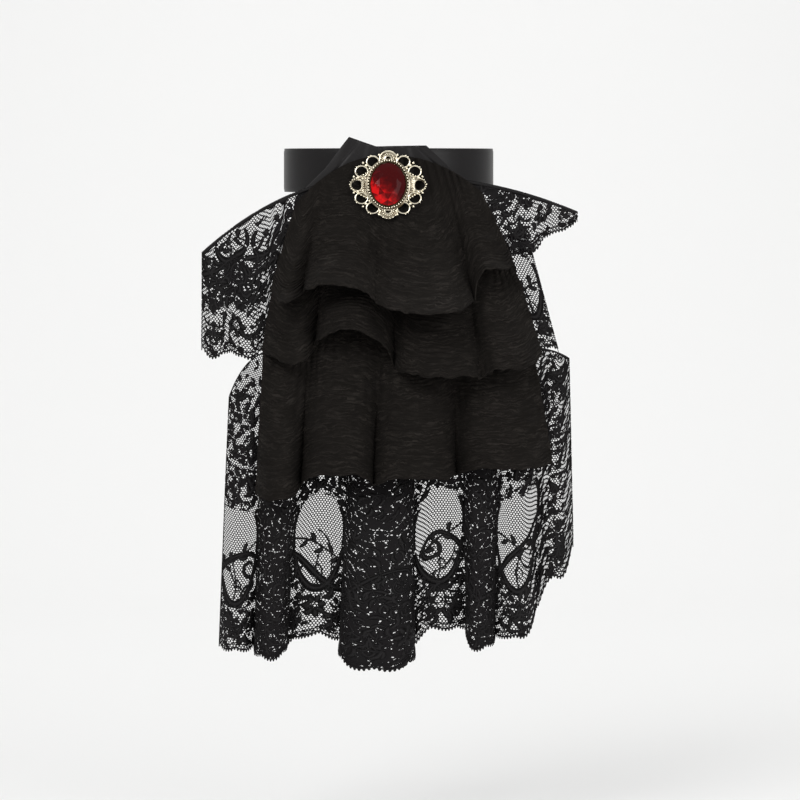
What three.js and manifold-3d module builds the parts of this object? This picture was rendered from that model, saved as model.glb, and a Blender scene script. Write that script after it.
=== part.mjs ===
// A jabot: a satin neck band and yoke, three fluted tiers of crepe over three of lace, and an oval brooch.
// Millimetres. +Z is up, the front faces -Y, and the origin is the middle of the neck loop.
import * as THREE from 'three';
import { ConvexGeometry } from 'three/addons/geometries/ConvexGeometry.js';
import { mergeVertices } from 'three/addons/utils/BufferGeometryUtils.js';
import Module from 'manifold-3d';

// Walls and clearances
const SATIN_WALL = 1.2;
const CREPE_WALL = 1.2;
const LACE_WALL = 1.0;
const SEAT_GAP = 0.3;
const TIER_GAP = 0.45;

// Neck band: a loop around the neck, higher at the nape, with its ends lapped there
const NECK_WIDTH = 134;
const NECK_DEPTH = 118;
const BAND_HEIGHT = 28;
const BAND_RISE = 10;
const BAND_LAP = 44;
const BAND_EASE_LENGTH = 26;
const TAPE_LENGTH = 36;
const TAPE_HEIGHT = 20;
const TAPE_WALL = 1.6;

// Chest: the surface that the cascade hangs against
const CHEST_RADIUS = 450;
const CHEST_SLOPE = 0.05;
const CHEST_TOP = -19;

// Yoke: the satin backing
const YOKE_TOP = 10;
const YOKE_PEAK = 6;
const YOKE_LENGTH = 160;
const YOKE_HALF_WIDTH = 77;
// Share of the yoke's length over which the rise of its top edge dies out
const YOKE_BROW_FADE = 0.5;

// Crepe tiers. A heading reaches left and right of the middle, and its ends may dip below its middle.
const UPPER_HEADING = 4;
const UPPER_HEADING_HALF = 58;
const UPPER_DIP_LEFT = 30;
const UPPER_DIP_RIGHT = 22;
const UPPER_HALF_WIDTH = 78;
const UPPER_DROP = 101;
const UPPER_DEPTH = 27;
const MIDDLE_HEADING = -58;
const MIDDLE_HEADING_LEFT = 68;
const MIDDLE_HEADING_RIGHT = 75;
const MIDDLE_HALF_WIDTH = 96;
const MIDDLE_DROP = 80;
const MIDDLE_DEPTH = 28;
const LOWER_HEADING = -104;
const LOWER_HEADING_LEFT = 77;
const LOWER_HEADING_RIGHT = 87;
const LOWER_HALF_WIDTH = 102;
const LOWER_DROP = 107;
const LOWER_DEPTH = 27;

// Lace tiers
const WING_HEADING = -8;
const WING_HEADING_LEFT = 118;
const WING_HEADING_RIGHT = 120;
const WING_DIP_LEFT = 48;
const WING_DIP_RIGHT = 22;
const WING_HALF_WIDTH = 120;
const WING_DROP = 118;
const WING_DEPTH = 8;
const SIDE_HEADING = -45;
const SIDE_HEADING_LEFT = 65;
const SIDE_HEADING_RIGHT = 88;
const SIDE_HALF_WIDTH = 108;
const SIDE_DROP = 75;
const SIDE_DEPTH = 5;
const FLOUNCE_HEADING = -115;
const FLOUNCE_HEADING_LEFT = 100;
const FLOUNCE_HEADING_RIGHT = 114;
const FLOUNCE_DIP_LEFT = 32;
const FLOUNCE_DIP_RIGHT = 8;
const FLOUNCE_HALF_WIDTH = 116;
const FLOUNCE_DROP = 202;
const FLOUNCE_DEPTH = 26;

// Brooch
const BROOCH_HEIGHT = -15;
const STONE_HALF_WIDTH = 11;
const STONE_HALF_HEIGHT = 13.7;
const STONE_CROWN = 3.6;
const STONE_GIRDLE = 1.0;
const PLATE_WALL = 1.6;
const PLATE_HALF_WIDTH = 16;
const PLATE_HALF_HEIGHT = 16.4;
const LEDGE_WIDTH = 1.5;
const BEZEL_WALL = 1.7;
const BEZEL_LIFT = 1.9;
const WREATH_HALF_WIDTH = 19.2;
const WREATH_HALF_HEIGHT = 17;
const RING_RADIUS = 3.3;
const RING_WIRE = 0.95;
const LOBE_LENGTH = 5.4;
const LOBE_HALF_WIDTH = 4.3;
const LOBE_FOOT_HALF_WIDTH = 2.6;
const LOBE_SHOULDER = 2.7;
const LOBE_HOLE = 1.5;
const BEAD_RADIUS = 1.2;
const PIN_LENGTH = 32;
const PIN_WIRE = 1.3;
const PIN_RISE = 4;

// Steps of the meshes
const BAND_STEPS = 60;
const TAPE_STEPS = 6;
const YOKE_STEPS = 10;
const OVAL_STEPS = 20;
const HOLE_STEPS = 10;
const RING_STEPS = 10;
const WIRE_SIDES = 5;
const BEAD_BELTS = 4;
const LOBE_CURVE_STEPS = 5;

// The wreath has this many places. Every third one has a lobe and the others a ring, with beads between.
const WREATH_PLACES = 12;
const LOBE_EVERY = 3;

// How full a fold is: 1 gives a pointed seat between folds, 2 a round one.
const FOLD_ROUNDNESS = 1.35;
// The height over which an outer tier slopes in above the heading of the tier under it.
const HEADING_RAMP = 22;
// Corners nearer than this are one.
const WELD = 1e-4;

// Each fold ends at `right` (share of the half width). There the cloth stands off by `seat` (share of the
// depth) and hangs to `hang` (share of the drop). Its crest has `out` and `fall`, `curl` draws its sides in
// under the crest, and `lean` moves the crest sideways. The first row is the cloth's left edge.
const UPPER_FOLDS = [
  { right: -0.94, seat: 0.05, hang: 0.85 },
  { right: -0.68, seat: 0.0, hang: 0.87, out: 0.4, fall: 0.94, curl: 0.02, lean: 0.0 },
  { right: -0.1, seat: 0.35, hang: 0.93, out: 1.0, fall: 0.82, curl: 0.1, lean: -0.06 },
  { right: 0.69, seat: 0.0, hang: 0.92, out: 0.95, fall: 1.0, curl: 0.08, lean: 0.05 },
  { right: 1.0, seat: 0.15, hang: 0.66, out: 0.75, fall: 0.72, curl: 0.14, lean: 0.0 },
];
const MIDDLE_FOLDS = [
  { right: -0.82, seat: 0.1, hang: 0.76 },
  { right: -0.47, seat: 0.0, hang: 0.74, out: 0.6, fall: 0.86, curl: 0.04, lean: 0.1 },
  { right: 0.04, seat: 0.0, hang: 0.88, out: 1.0, fall: 0.6, curl: 0.12, lean: -0.08 },
  { right: 0.6, seat: 0.4, hang: 0.98, out: 0.95, fall: 0.97, curl: 0.1, lean: 0.0 },
  { right: 1.0, seat: 0.1, hang: 0.79, out: 0.9, fall: 0.92, curl: 0.06, lean: -0.05 },
];
const LOWER_FOLDS = [
  { right: -0.8, seat: 0.15, hang: 0.97 },
  { right: -0.53, seat: 0.0, hang: 0.93, out: 0.75, fall: 1.0, curl: 0.1, lean: 0.0 },
  { right: -0.09, seat: 0.0, hang: 0.93, out: 1.0, fall: 0.85, curl: 0.15, lean: 0.03 },
  { right: 0.41, seat: 0.0, hang: 0.86, out: 0.95, fall: 0.88, curl: 0.13, lean: 0.0 },
  { right: 1.0, seat: 0.15, hang: 0.79, out: 0.9, fall: 0.82, curl: 0.08, lean: 0.0 },
];
const WING_FOLDS = [
  { right: -0.98, seat: 0.2, hang: 0.93 },
  { right: -0.82, seat: 0.2, hang: 0.95, out: 1.0, fall: 0.99, curl: 0.04, lean: 0.0 },
  { right: -0.65, seat: 0.0, hang: 0.93, out: 0.7, fall: 1.0, curl: 0.04, lean: 0.0 },
  { right: -0.56, seat: 0.0, hang: 0.72, out: 0.1, fall: 0.84, curl: 0.0, lean: 0.0 },
  { right: 0.0, seat: 0.0, hang: 0.6, out: 0.1, fall: 0.66, curl: 0.0, lean: 0.0 },
  { right: 0.66, seat: 0.0, hang: 0.44, out: 0.1, fall: 0.5, curl: 0.0, lean: 0.0 },
  { right: 0.82, seat: 0.1, hang: 0.36, out: 0.5, fall: 0.42, curl: 0.03, lean: 0.0 },
  { right: 1.0, seat: 0.3, hang: 0.24, out: 0.9, fall: 0.31, curl: 0.03, lean: 0.0 },
];
const SIDE_FOLDS = [
  { right: -0.66, seat: 0.0, hang: 0.82 },
  { right: 0.7, seat: 0.0, hang: 0.9, out: 0.1, fall: 0.88, curl: 0.0, lean: 0.0 },
  { right: 1.0, seat: 0.5, hang: 1.0, out: 1.0, fall: 0.97, curl: 0.03, lean: 0.0 },
];
const FLOUNCE_FOLDS = [
  { right: -0.91, seat: 0.2, hang: 0.93 },
  { right: -0.72, seat: 0.1, hang: 0.94, out: 0.6, fall: 0.95, curl: 0.08, lean: 0.0 },
  { right: -0.54, seat: 0.05, hang: 0.93, out: 0.8, fall: 0.97, curl: 0.15, lean: 0.0 },
  { right: -0.24, seat: 0.0, hang: 0.92, out: 0.24, fall: 0.9, curl: 0.03, lean: 0.0 },
  { right: 0.12, seat: 0.0, hang: 0.94, out: 1.0, fall: 1.0, curl: 0.27, lean: 0.0 },
  { right: 0.42, seat: 0.05, hang: 0.88, out: 0.26, fall: 0.88, curl: 0.03, lean: 0.0 },
  { right: 0.57, seat: 0.3, hang: 0.91, out: 0.85, fall: 0.94, curl: 0.18, lean: -0.1 },
  { right: 0.8, seat: 0.15, hang: 0.82, out: 0.7, fall: 0.91, curl: 0.08, lean: 0.0 },
  { right: 1.0, seat: 0.2, hang: 0.62, out: 0.5, fall: 0.73, curl: 0.04, lean: 0.0 },
];

// The yoke's sides, as shares of its length and half width, and its top edge, as shares of the peak
const YOKE_SIDES = [
  { down: 0.0, left: -0.32, right: 0.31 },
  { down: 0.12, left: -0.52, right: 0.58 },
  { down: 0.22, left: -0.76, right: 0.78 },
  { down: 0.4, left: -0.82, right: 1.0 },
  { down: 0.6, left: -0.84, right: 0.86 },
  { down: 1.0, left: -0.84, right: 0.86 },
];
const YOKE_BROW = [
  { across: 0.0, rise: 1.0 },
  { across: 0.35, rise: 0.0 },
  { across: 1.0, rise: 0.1 },
];

// Rings of the stone's corners: `share` of its outline, and their height as shares of girdle and crown
const STONE_RINGS = [
  { share: 0.93, girdle: 0.0, crown: 0.0, sides: 16, turn: 0.0 },
  { share: 1.0, girdle: 1.0, crown: 0.0, sides: 16, turn: 0.0 },
  { share: 0.8, girdle: 1.0, crown: 0.62, sides: 8, turn: 0.5 },
  { share: 0.5, girdle: 1.0, crown: 1.0, sides: 8, turn: 0.0 },
];

const wasm = await Module();
wasm.setup();

function mix(from, to, share) {
  return from + (to - from) * share;
}

function clamp01(value) {
  return Math.min(1, Math.max(0, value));
}

function ease(value) {
  const share = clamp01(value);
  return share * share * (3 - 2 * share);
}

// The value of a table's column where another column, which rises from row to row, has the value `at`.
function lookUp(table, atColumn, at, column) {
  const last = table.findIndex((row, i) => i > 0 && (at <= row[atColumn] || i === table.length - 1));
  const from = table[last - 1];
  const to = table[last];
  return mix(from[column], to[column], clamp01((at - from[atColumn]) / (to[atColumn] - from[atColumn])));
}

// The yoke's middle surface. It lies against the front of the neck band and leans out down the chest.
const yokeReach = NECK_DEPTH / 2 + SATIN_WALL + SEAT_GAP + SATIN_WALL / 2;

function onChest(x, standOff, z) {
  const lean = CHEST_SLOPE * Math.min(0, z - CHEST_TOP);
  const round = (x * x) / (2 * CHEST_RADIUS);
  return new THREE.Vector3(x, lean + round - yokeReach - standOff, z);
}

// Closes a grid of points into a wall of cloth. Rows run down the cloth, and points run from left to right.
function clothWall(grid, wall) {
  const lastRow = grid.length - 1;
  const lastColumn = grid[0].length - 1;
  const stride = lastColumn + 1;
  const sideSize = stride * (lastRow + 1);
  const front = [];
  const back = [];
  for (let r = 0; r <= lastRow; r++) {
    for (let c = 0; c <= lastColumn; c++) {
      const across = grid[r][Math.min(c + 1, lastColumn)].clone().sub(grid[r][Math.max(c - 1, 0)]);
      const down = grid[Math.min(r + 1, lastRow)][c].clone().sub(grid[Math.max(r - 1, 0)][c]);
      const normal = down.cross(across).normalize();
      front.push(grid[r][c].clone().addScaledVector(normal, wall / 2));
      back.push(grid[r][c].clone().addScaledVector(normal, -wall / 2));
    }
  }
  const triangles = [];
  const quad = (a, b, c, d) => triangles.push(a, b, c, a, c, d);
  for (let r = 0; r < lastRow; r++) {
    for (let c = 0; c < lastColumn; c++) {
      const a = r * stride + c;
      quad(a, a + stride, a + stride + 1, a + 1);
      quad(sideSize + a, sideSize + a + 1, sideSize + a + stride + 1, sideSize + a + stride);
    }
  }
  const rim = [];
  for (let c = 0; c < lastColumn; c++) rim.push(c);
  for (let r = 0; r < lastRow; r++) rim.push(r * stride + lastColumn);
  for (let c = lastColumn; c > 0; c--) rim.push(lastRow * stride + c);
  for (let r = lastRow; r > 0; r--) rim.push(r * stride);
  rim.forEach((a, i) => {
    const b = rim[(i + 1) % rim.length];
    quad(a, b, sideSize + b, sideSize + a);
  });
  const geometry = new THREE.BufferGeometry();
  const corners = [...front, ...back].flatMap((corner) => corner.toArray());
  geometry.setAttribute('position', new THREE.Float32BufferAttribute(corners, 3));
  geometry.setIndex(triangles);
  return geometry;
}

// A gathered strip of cloth: sewn along its heading, and standing out in folds towards its hem. It lies on
// the tiers in `on`, so its seat follows their fronts.
class Tier {
  constructor(sizes, folds, on) {
    Object.assign(this, { folds, on }, sizes);
    this.lengths = folds.slice(1).map((fold, i) => {
      const width = (fold.right - folds[i].right) * this.halfWidth;
      const rise = (fold.out - (fold.seat + folds[i].seat) / 2) * this.depth;
      return Math.hypot(width, 2 * rise);
    });
    this.length = this.lengths.reduce((sum, length) => sum + length, 0);
    this.columns = this.columnShares().map((share) => this.edges(share));
  }

  // Shares of the cloth's length, with the same number of steps in each fold
  columnShares() {
    const shares = [0];
    let start = 0;
    for (const length of this.lengths) {
      for (let step = 1; step <= this.steps; step++) {
        shares.push((start + (length * step) / this.steps) / this.length);
      }
      start += length;
    }
    return shares;
  }

  // Where the heading and the hem lie at a share of the cloth's length
  edges(share) {
    let index = 0;
    let start = 0;
    while (index < this.lengths.length - 1 && share * this.length > start + this.lengths[index]) {
      start += this.lengths[index];
      index += 1;
    }
    const turn = clamp01((share * this.length - start) / this.lengths[index]);
    const from = this.folds[index];
    const fold = this.folds[index + 1];
    const swell = Math.sin(Math.PI * turn) ** FOLD_ROUNDNESS;
    const drift = turn - fold.curl * Math.sin(2 * Math.PI * turn) + fold.lean * swell;
    const fall = mix(mix(from.hang, fold.hang, ease(turn)), fold.fall, swell);
    const side = 2 * share - 1;
    const dip = (side < 0 ? this.dipLeft : this.dipRight) * Math.abs(side) ** this.dipPower;
    return {
      headX: mix(this.headLeft, this.headRight, share),
      headZ: this.heading - dip,
      hemX: mix(from.right, fold.right, drift) * this.halfWidth,
      hemZ: this.heading - fall * this.drop,
      out: mix(mix(from.seat, fold.seat, ease(turn)), fold.out, swell),
    };
  }

  // How far the seat under this tier stands off at a height
  seat(z) {
    return Math.max(...this.on.map((under) => under(z)));
  }

  point(column, down) {
    const x = mix(column.headX, column.hemX, down ** this.flare);
    const z = mix(column.headZ, column.hemZ, down);
    return onChest(x, this.seat(z) + this.wall / 2 + this.depth * column.out * down ** this.swell, z);
  }

  // The stand-off of the tier's foremost fold at a height, with the gap to what lies on it. Only what is
  // nearer the middle than `reach` counts, because nothing lies on the loose ends of a wider tier.
  front(z, reach = Infinity) {
    let relief = 0;
    for (const column of this.columns) {
      const down = clamp01((column.headZ - z) / (column.headZ - column.hemZ));
      const x = mix(column.headX, column.hemX, down ** this.flare);
      if (Math.abs(x) < reach) relief = Math.max(relief, column.out * down ** this.swell);
    }
    const cover = ease((this.heading + HEADING_RAMP - z) / HEADING_RAMP);
    return this.seat(z) + cover * (this.wall + TIER_GAP) + this.depth * relief;
  }

  geometry() {
    const grid = [];
    for (let row = 0; row <= this.rows; row++) {
      grid.push(this.columns.map((column) => this.point(column, row / this.rows)));
    }
    return clothWall(grid, this.wall);
  }
}

const yokeFront = () => SATIN_WALL / 2 + TIER_GAP;

const STRAIGHT_HEADING = { dipLeft: 0, dipRight: 0, dipPower: 1 };

const sideLace = new Tier(
  {
    wall: LACE_WALL,
    heading: SIDE_HEADING,
    headLeft: -SIDE_HEADING_LEFT,
    headRight: SIDE_HEADING_RIGHT,
    ...STRAIGHT_HEADING,
    halfWidth: SIDE_HALF_WIDTH,
    drop: SIDE_DROP,
    depth: SIDE_DEPTH,
    swell: 1.2,
    flare: 1,
    rows: 5,
    steps: 6,
  },
  SIDE_FOLDS,
  [yokeFront],
);

const flounce = new Tier(
  {
    wall: LACE_WALL,
    heading: FLOUNCE_HEADING,
    headLeft: -FLOUNCE_HEADING_LEFT,
    headRight: FLOUNCE_HEADING_RIGHT,
    dipLeft: FLOUNCE_DIP_LEFT,
    dipRight: FLOUNCE_DIP_RIGHT,
    dipPower: 9,
    halfWidth: FLOUNCE_HALF_WIDTH,
    drop: FLOUNCE_DROP,
    depth: FLOUNCE_DEPTH,
    swell: 1.25,
    flare: 0.9,
    rows: 7,
    steps: 7,
  },
  FLOUNCE_FOLDS,
  [(z) => sideLace.front(z)],
);

const wing = new Tier(
  {
    wall: LACE_WALL,
    heading: WING_HEADING,
    headLeft: -WING_HEADING_LEFT,
    headRight: WING_HEADING_RIGHT,
    dipLeft: WING_DIP_LEFT,
    dipRight: WING_DIP_RIGHT,
    dipPower: 2.2,
    halfWidth: WING_HALF_WIDTH,
    drop: WING_DROP,
    depth: WING_DEPTH,
    swell: 1.2,
    flare: 1,
    rows: 5,
    steps: 5,
  },
  WING_FOLDS,
  [(z) => flounce.front(z)],
);

const lowerCrepe = new Tier(
  {
    wall: CREPE_WALL,
    heading: LOWER_HEADING,
    headLeft: -LOWER_HEADING_LEFT,
    headRight: LOWER_HEADING_RIGHT,
    ...STRAIGHT_HEADING,
    halfWidth: LOWER_HALF_WIDTH,
    drop: LOWER_DROP,
    depth: LOWER_DEPTH,
    swell: 1.1,
    flare: 0.8,
    rows: 8,
    steps: 9,
  },
  LOWER_FOLDS,
  [(z) => flounce.front(z), (z) => wing.front(z, YOKE_HALF_WIDTH)],
);

const middleCrepe = new Tier(
  {
    wall: CREPE_WALL,
    heading: MIDDLE_HEADING,
    headLeft: -MIDDLE_HEADING_LEFT,
    headRight: MIDDLE_HEADING_RIGHT,
    ...STRAIGHT_HEADING,
    halfWidth: MIDDLE_HALF_WIDTH,
    drop: MIDDLE_DROP,
    depth: MIDDLE_DEPTH,
    swell: 1.2,
    flare: 0.8,
    rows: 8,
    steps: 9,
  },
  MIDDLE_FOLDS,
  [(z) => lowerCrepe.front(z)],
);

const upperCrepe = new Tier(
  {
    wall: CREPE_WALL,
    heading: UPPER_HEADING,
    headLeft: -UPPER_HEADING_HALF,
    headRight: UPPER_HEADING_HALF,
    dipLeft: UPPER_DIP_LEFT,
    dipRight: UPPER_DIP_RIGHT,
    dipPower: 2.2,
    halfWidth: UPPER_HALF_WIDTH,
    drop: UPPER_DROP,
    depth: UPPER_DEPTH,
    swell: 1.8,
    flare: 0.9,
    rows: 8,
    steps: 9,
  },
  UPPER_FOLDS,
  [(z) => middleCrepe.front(z)],
);

function yokeGeometry() {
  const grid = [];
  for (let row = 0; row <= YOKE_STEPS; row++) {
    const down = row / YOKE_STEPS;
    const peak = YOKE_PEAK * (1 - ease(down / YOKE_BROW_FADE));
    const left = lookUp(YOKE_SIDES, 'down', down, 'left') * YOKE_HALF_WIDTH;
    const right = lookUp(YOKE_SIDES, 'down', down, 'right') * YOKE_HALF_WIDTH;
    const line = [];
    for (let column = 0; column <= YOKE_STEPS; column++) {
      const across = column / YOKE_STEPS;
      const rise = lookUp(YOKE_BROW, 'across', across, 'rise') * peak;
      line.push(onChest(mix(left, right, across), 0, YOKE_TOP + rise - YOKE_LENGTH * down));
    }
    grid.push(line);
  }
  return clothWall(grid, SATIN_WALL);
}

// A point of the band at an angle from the nape, where its far end lifts clear of the fastener tape
const bandRadius = (NECK_WIDTH + NECK_DEPTH) / 4;
const lapAngle = BAND_LAP / bandRadius;
const easeAngle = BAND_EASE_LENGTH / bandRadius;
const lapLift = SATIN_WALL + TAPE_WALL + 2 * SEAT_GAP;

function onBand(angle, lift, height) {
  const radiusX = NECK_WIDTH / 2 + SATIN_WALL / 2 + lift;
  const radiusY = NECK_DEPTH / 2 + SATIN_WALL / 2 + lift;
  const back = Math.cos(angle);
  return new THREE.Vector3(-radiusX * Math.sin(angle), radiusY * back, (BAND_RISE / 2) * back + height);
}

function bandStrip(fromAngle, toAngle, steps, height, liftAt, wall) {
  const grid = [height / 2, -height / 2].map((z) => {
    const line = [];
    for (let step = 0; step <= steps; step++) {
      const angle = mix(fromAngle, toAngle, step / steps);
      line.push(onBand(angle, liftAt(angle), z));
    }
    return line;
  });
  return clothWall(grid, wall);
}

function bandGeometry() {
  const lapStart = 2 * Math.PI - lapAngle / 2;
  const liftAt = (angle) => lapLift * ease((angle - lapStart + easeAngle) / easeAngle);
  return bandStrip(-lapAngle / 2, lapStart + lapAngle, BAND_STEPS, BAND_HEIGHT, liftAt, SATIN_WALL);
}

function tapeGeometry() {
  const halfAngle = TAPE_LENGTH / bandRadius / 2;
  return bandStrip(-halfAngle, halfAngle, TAPE_STEPS, TAPE_HEIGHT, () => lapLift / 2, TAPE_WALL);
}

// Turns a closed geometry into a solid that can be joined and cut
function solid(geometry) {
  const plain = geometry.index ? geometry.clone() : geometry;
  plain.deleteAttribute('normal');
  plain.deleteAttribute('uv');
  const merged = mergeVertices(plain, WELD);
  const vertProperties = new Float32Array(merged.attributes.position.array);
  const triVerts = new Uint32Array(merged.index.array);
  return new wasm.Manifold(new wasm.Mesh({ numProp: 3, vertProperties, triVerts }));
}

function geometryOf(joined) {
  const mesh = joined.getMesh();
  const geometry = new THREE.BufferGeometry();
  geometry.setAttribute('position', new THREE.Float32BufferAttribute(mesh.vertProperties, 3));
  geometry.setIndex([...mesh.triVerts]);
  return geometry;
}

function oval(halfWidth, halfHeight, steps) {
  const points = [];
  for (let step = 0; step < steps; step++) {
    const angle = (2 * Math.PI * step) / steps;
    points.push(new THREE.Vector2(halfWidth * Math.cos(angle), halfHeight * Math.sin(angle)));
  }
  return new THREE.Shape(points);
}

// An upright oval ring, from `bottom` to `top` of the brooch's thickness
function ovalRing(outerX, outerY, innerX, innerY, bottom, top) {
  const shape = oval(outerX, outerY, OVAL_STEPS);
  shape.holes.push(oval(innerX, innerY, OVAL_STEPS));
  const settings = { depth: top - bottom, bevelEnabled: false };
  return new THREE.ExtrudeGeometry(shape, settings).translate(0, 0, bottom);
}

// A pointed lobe with a round hole, whose tip points along +Y
function lobeGeometry() {
  const shape = new THREE.Shape();
  shape.moveTo(0, LOBE_LENGTH);
  shape.quadraticCurveTo(LOBE_HALF_WIDTH, LOBE_SHOULDER, LOBE_HALF_WIDTH, 0);
  shape.lineTo(LOBE_FOOT_HALF_WIDTH, -LOBE_LENGTH);
  shape.lineTo(-LOBE_FOOT_HALF_WIDTH, -LOBE_LENGTH);
  shape.lineTo(-LOBE_HALF_WIDTH, 0);
  shape.quadraticCurveTo(-LOBE_HALF_WIDTH, LOBE_SHOULDER, 0, LOBE_LENGTH);
  shape.holes.push(oval(LOBE_HOLE, LOBE_HOLE, HOLE_STEPS));
  const settings = { depth: PLATE_WALL, bevelEnabled: false, curveSegments: LOBE_CURVE_STEPS };
  return new THREE.ExtrudeGeometry(shape, settings);
}

// A ring of round wire, level with the middle of the plate
function ringGeometry() {
  const ring = new THREE.TorusGeometry(RING_RADIUS, RING_WIRE, WIRE_SIDES, RING_STEPS);
  return ring.translate(0, 0, PLATE_WALL / 2);
}

// A point of the wreath's oval, at an angle clockwise from its top
function onWreath(angle, height) {
  return [WREATH_HALF_WIDTH * Math.sin(angle), WREATH_HALF_HEIGHT * Math.cos(angle), height];
}

function settingGeometry() {
  const seatX = STONE_HALF_WIDTH + SEAT_GAP;
  const seatY = STONE_HALF_HEIGHT + SEAT_GAP;
  const ledge = [STONE_HALF_WIDTH - LEDGE_WIDTH, STONE_HALF_HEIGHT - LEDGE_WIDTH];
  const bezelTop = PLATE_WALL + BEZEL_LIFT;
  let setting = solid(ovalRing(PLATE_HALF_WIDTH, PLATE_HALF_HEIGHT, ...ledge, 0, PLATE_WALL));
  setting = setting.add(
    solid(ovalRing(seatX + BEZEL_WALL, seatY + BEZEL_WALL, seatX, seatY, PLATE_WALL / 2, bezelTop)),
  );
  const step = (2 * Math.PI) / WREATH_PLACES;
  for (let place = 0; place < WREATH_PLACES; place++) {
    const angle = place * step;
    const ornament = place % LOBE_EVERY === 0 ? lobeGeometry().rotateZ(-angle) : ringGeometry();
    setting = setting.add(solid(ornament.translate(...onWreath(angle, 0))));
    const bead = new THREE.SphereGeometry(BEAD_RADIUS, RING_STEPS, BEAD_BELTS);
    setting = setting.add(solid(bead.translate(...onWreath(angle + step / 2, PLATE_WALL / 2))));
  }
  return geometryOf(setting);
}

// The stone stands on the ledge: a straight girdle, then a crown of facets up to its table
function stoneGeometry() {
  const bottom = PLATE_WALL + SEAT_GAP;
  const points = [];
  for (const ring of STONE_RINGS) {
    const height = bottom + STONE_GIRDLE * ring.girdle + STONE_CROWN * ring.crown;
    for (let side = 0; side < ring.sides; side++) {
      const angle = ((side + ring.turn) * 2 * Math.PI) / ring.sides;
      const x = STONE_HALF_WIDTH * ring.share * Math.sin(angle);
      const y = STONE_HALF_HEIGHT * ring.share * Math.cos(angle);
      points.push(new THREE.Vector3(x, y, height));
    }
  }
  return new ConvexGeometry(points);
}

// One plain bar across the back of the setting
function pinGeometry() {
  return new THREE.CylinderGeometry(PIN_WIRE / 2, PIN_WIRE / 2, PIN_LENGTH, 10)
    .rotateZ(Math.PI / 2)
    .translate(0, PIN_RISE, -SEAT_GAP - PIN_WIRE / 2);
}

const satin = { color: 0x141216, roughness: 0.38, metalness: 0 };
const crepe = { color: 0x121010, roughness: 0.9, metalness: 0 };
const lace = { color: 0x0e0d0f, roughness: 0.8, metalness: 0 };
const hookTape = { color: 0x1a1a1c, roughness: 0.95, metalness: 0 };
const gilt = { color: 0xd9c79a, roughness: 0.28, metalness: 1 };
const ruby = { color: 0xa60814, roughness: 0.08, metalness: 0 };

function piece(name, geometry, finish) {
  const mesh = new THREE.Mesh(geometry, new THREE.MeshStandardMaterial(finish));
  mesh.name = name;
  return mesh;
}

const group = new THREE.Group();
group.add(
  piece('neck_band', bandGeometry(), satin),
  piece('fastener_tape', tapeGeometry(), hookTape),
  piece('yoke', yokeGeometry(), satin),
  piece('lace_tier_side', sideLace.geometry(), lace),
  piece('lace_flounce', flounce.geometry(), lace),
  piece('lace_wing_upper', wing.geometry(), lace),
  piece('crepe_tier_lower', lowerCrepe.geometry(), crepe),
  piece('crepe_tier_middle', middleCrepe.geometry(), crepe),
  piece('crepe_tier_upper', upperCrepe.geometry(), crepe),
);

// The brooch leans back, from the crepe behind its foot to the crepe behind its head
const broochHalfHeight = WREATH_HALF_HEIGHT + LOBE_LENGTH;
const footStandOff = upperCrepe.front(BROOCH_HEIGHT - broochHalfHeight, WREATH_HALF_WIDTH);
const headStandOff = upperCrepe.front(UPPER_HEADING, WREATH_HALF_WIDTH) + PIN_WIRE;
const broochTilt = Math.atan2(footStandOff - headStandOff, 2 * broochHalfHeight);
const brooch = new THREE.Group();
brooch.add(
  piece('brooch_setting', settingGeometry(), gilt),
  piece('brooch_stone', stoneGeometry(), ruby),
  piece('brooch_pin', pinGeometry(), gilt),
);
brooch.position.copy(onChest(0, (footStandOff + headStandOff) / 2, BROOCH_HEIGHT));
brooch.rotation.x = Math.PI / 2 - broochTilt;
group.add(brooch);

export default group;
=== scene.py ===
"""Dresses the jabot: satin band and yoke, crinkled crepe tiers, lace with raised work, and the brooch.

Lengths are in metres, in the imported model's frame: +Z is up and the front faces -Y. Flat cloth is measured
with u along the hem and v up from it. Finishes measure it in millimetres.
"""
import logging
import math
from dataclasses import dataclass, field
from enum import Enum
from typing import Callable, Sequence

import bpy
import numpy as np
from mathutils import Matrix, Vector


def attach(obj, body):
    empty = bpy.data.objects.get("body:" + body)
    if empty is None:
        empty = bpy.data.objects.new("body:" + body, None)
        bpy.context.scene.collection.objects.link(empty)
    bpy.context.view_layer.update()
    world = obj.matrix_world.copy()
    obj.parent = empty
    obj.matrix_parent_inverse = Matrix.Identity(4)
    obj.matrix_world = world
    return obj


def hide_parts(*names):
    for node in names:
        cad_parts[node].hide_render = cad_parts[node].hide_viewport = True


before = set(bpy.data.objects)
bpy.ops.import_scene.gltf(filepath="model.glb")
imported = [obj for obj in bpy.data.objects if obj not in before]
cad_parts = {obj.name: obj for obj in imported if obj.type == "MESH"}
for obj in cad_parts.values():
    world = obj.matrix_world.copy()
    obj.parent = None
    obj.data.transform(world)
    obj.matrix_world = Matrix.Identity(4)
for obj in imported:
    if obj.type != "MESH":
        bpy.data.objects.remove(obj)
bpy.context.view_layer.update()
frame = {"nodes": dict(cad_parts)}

log = logging.getLogger("jabot")

Array = np.ndarray
Colour = tuple[float, float, float]
Material = bpy.types.Material
Object = bpy.types.Object

MM = 0.001
TURN = 2 * math.pi
SATIN_WALL = 1.2 * MM
SATIN_CLOTH = 0.9 * MM
CREPE_WALL = 1.2 * MM
LACE_WALL = 1.0 * MM
SEAT_GAP = 0.3 * MM
TIER_GAP = 0.45 * MM
HEADING_RAMP = 22 * MM
FOLD_ROUNDNESS = 1.35
STONE_MIDDLE = -15 * MM
STONE_HALF = (11 * MM, 13.7 * MM)


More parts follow.
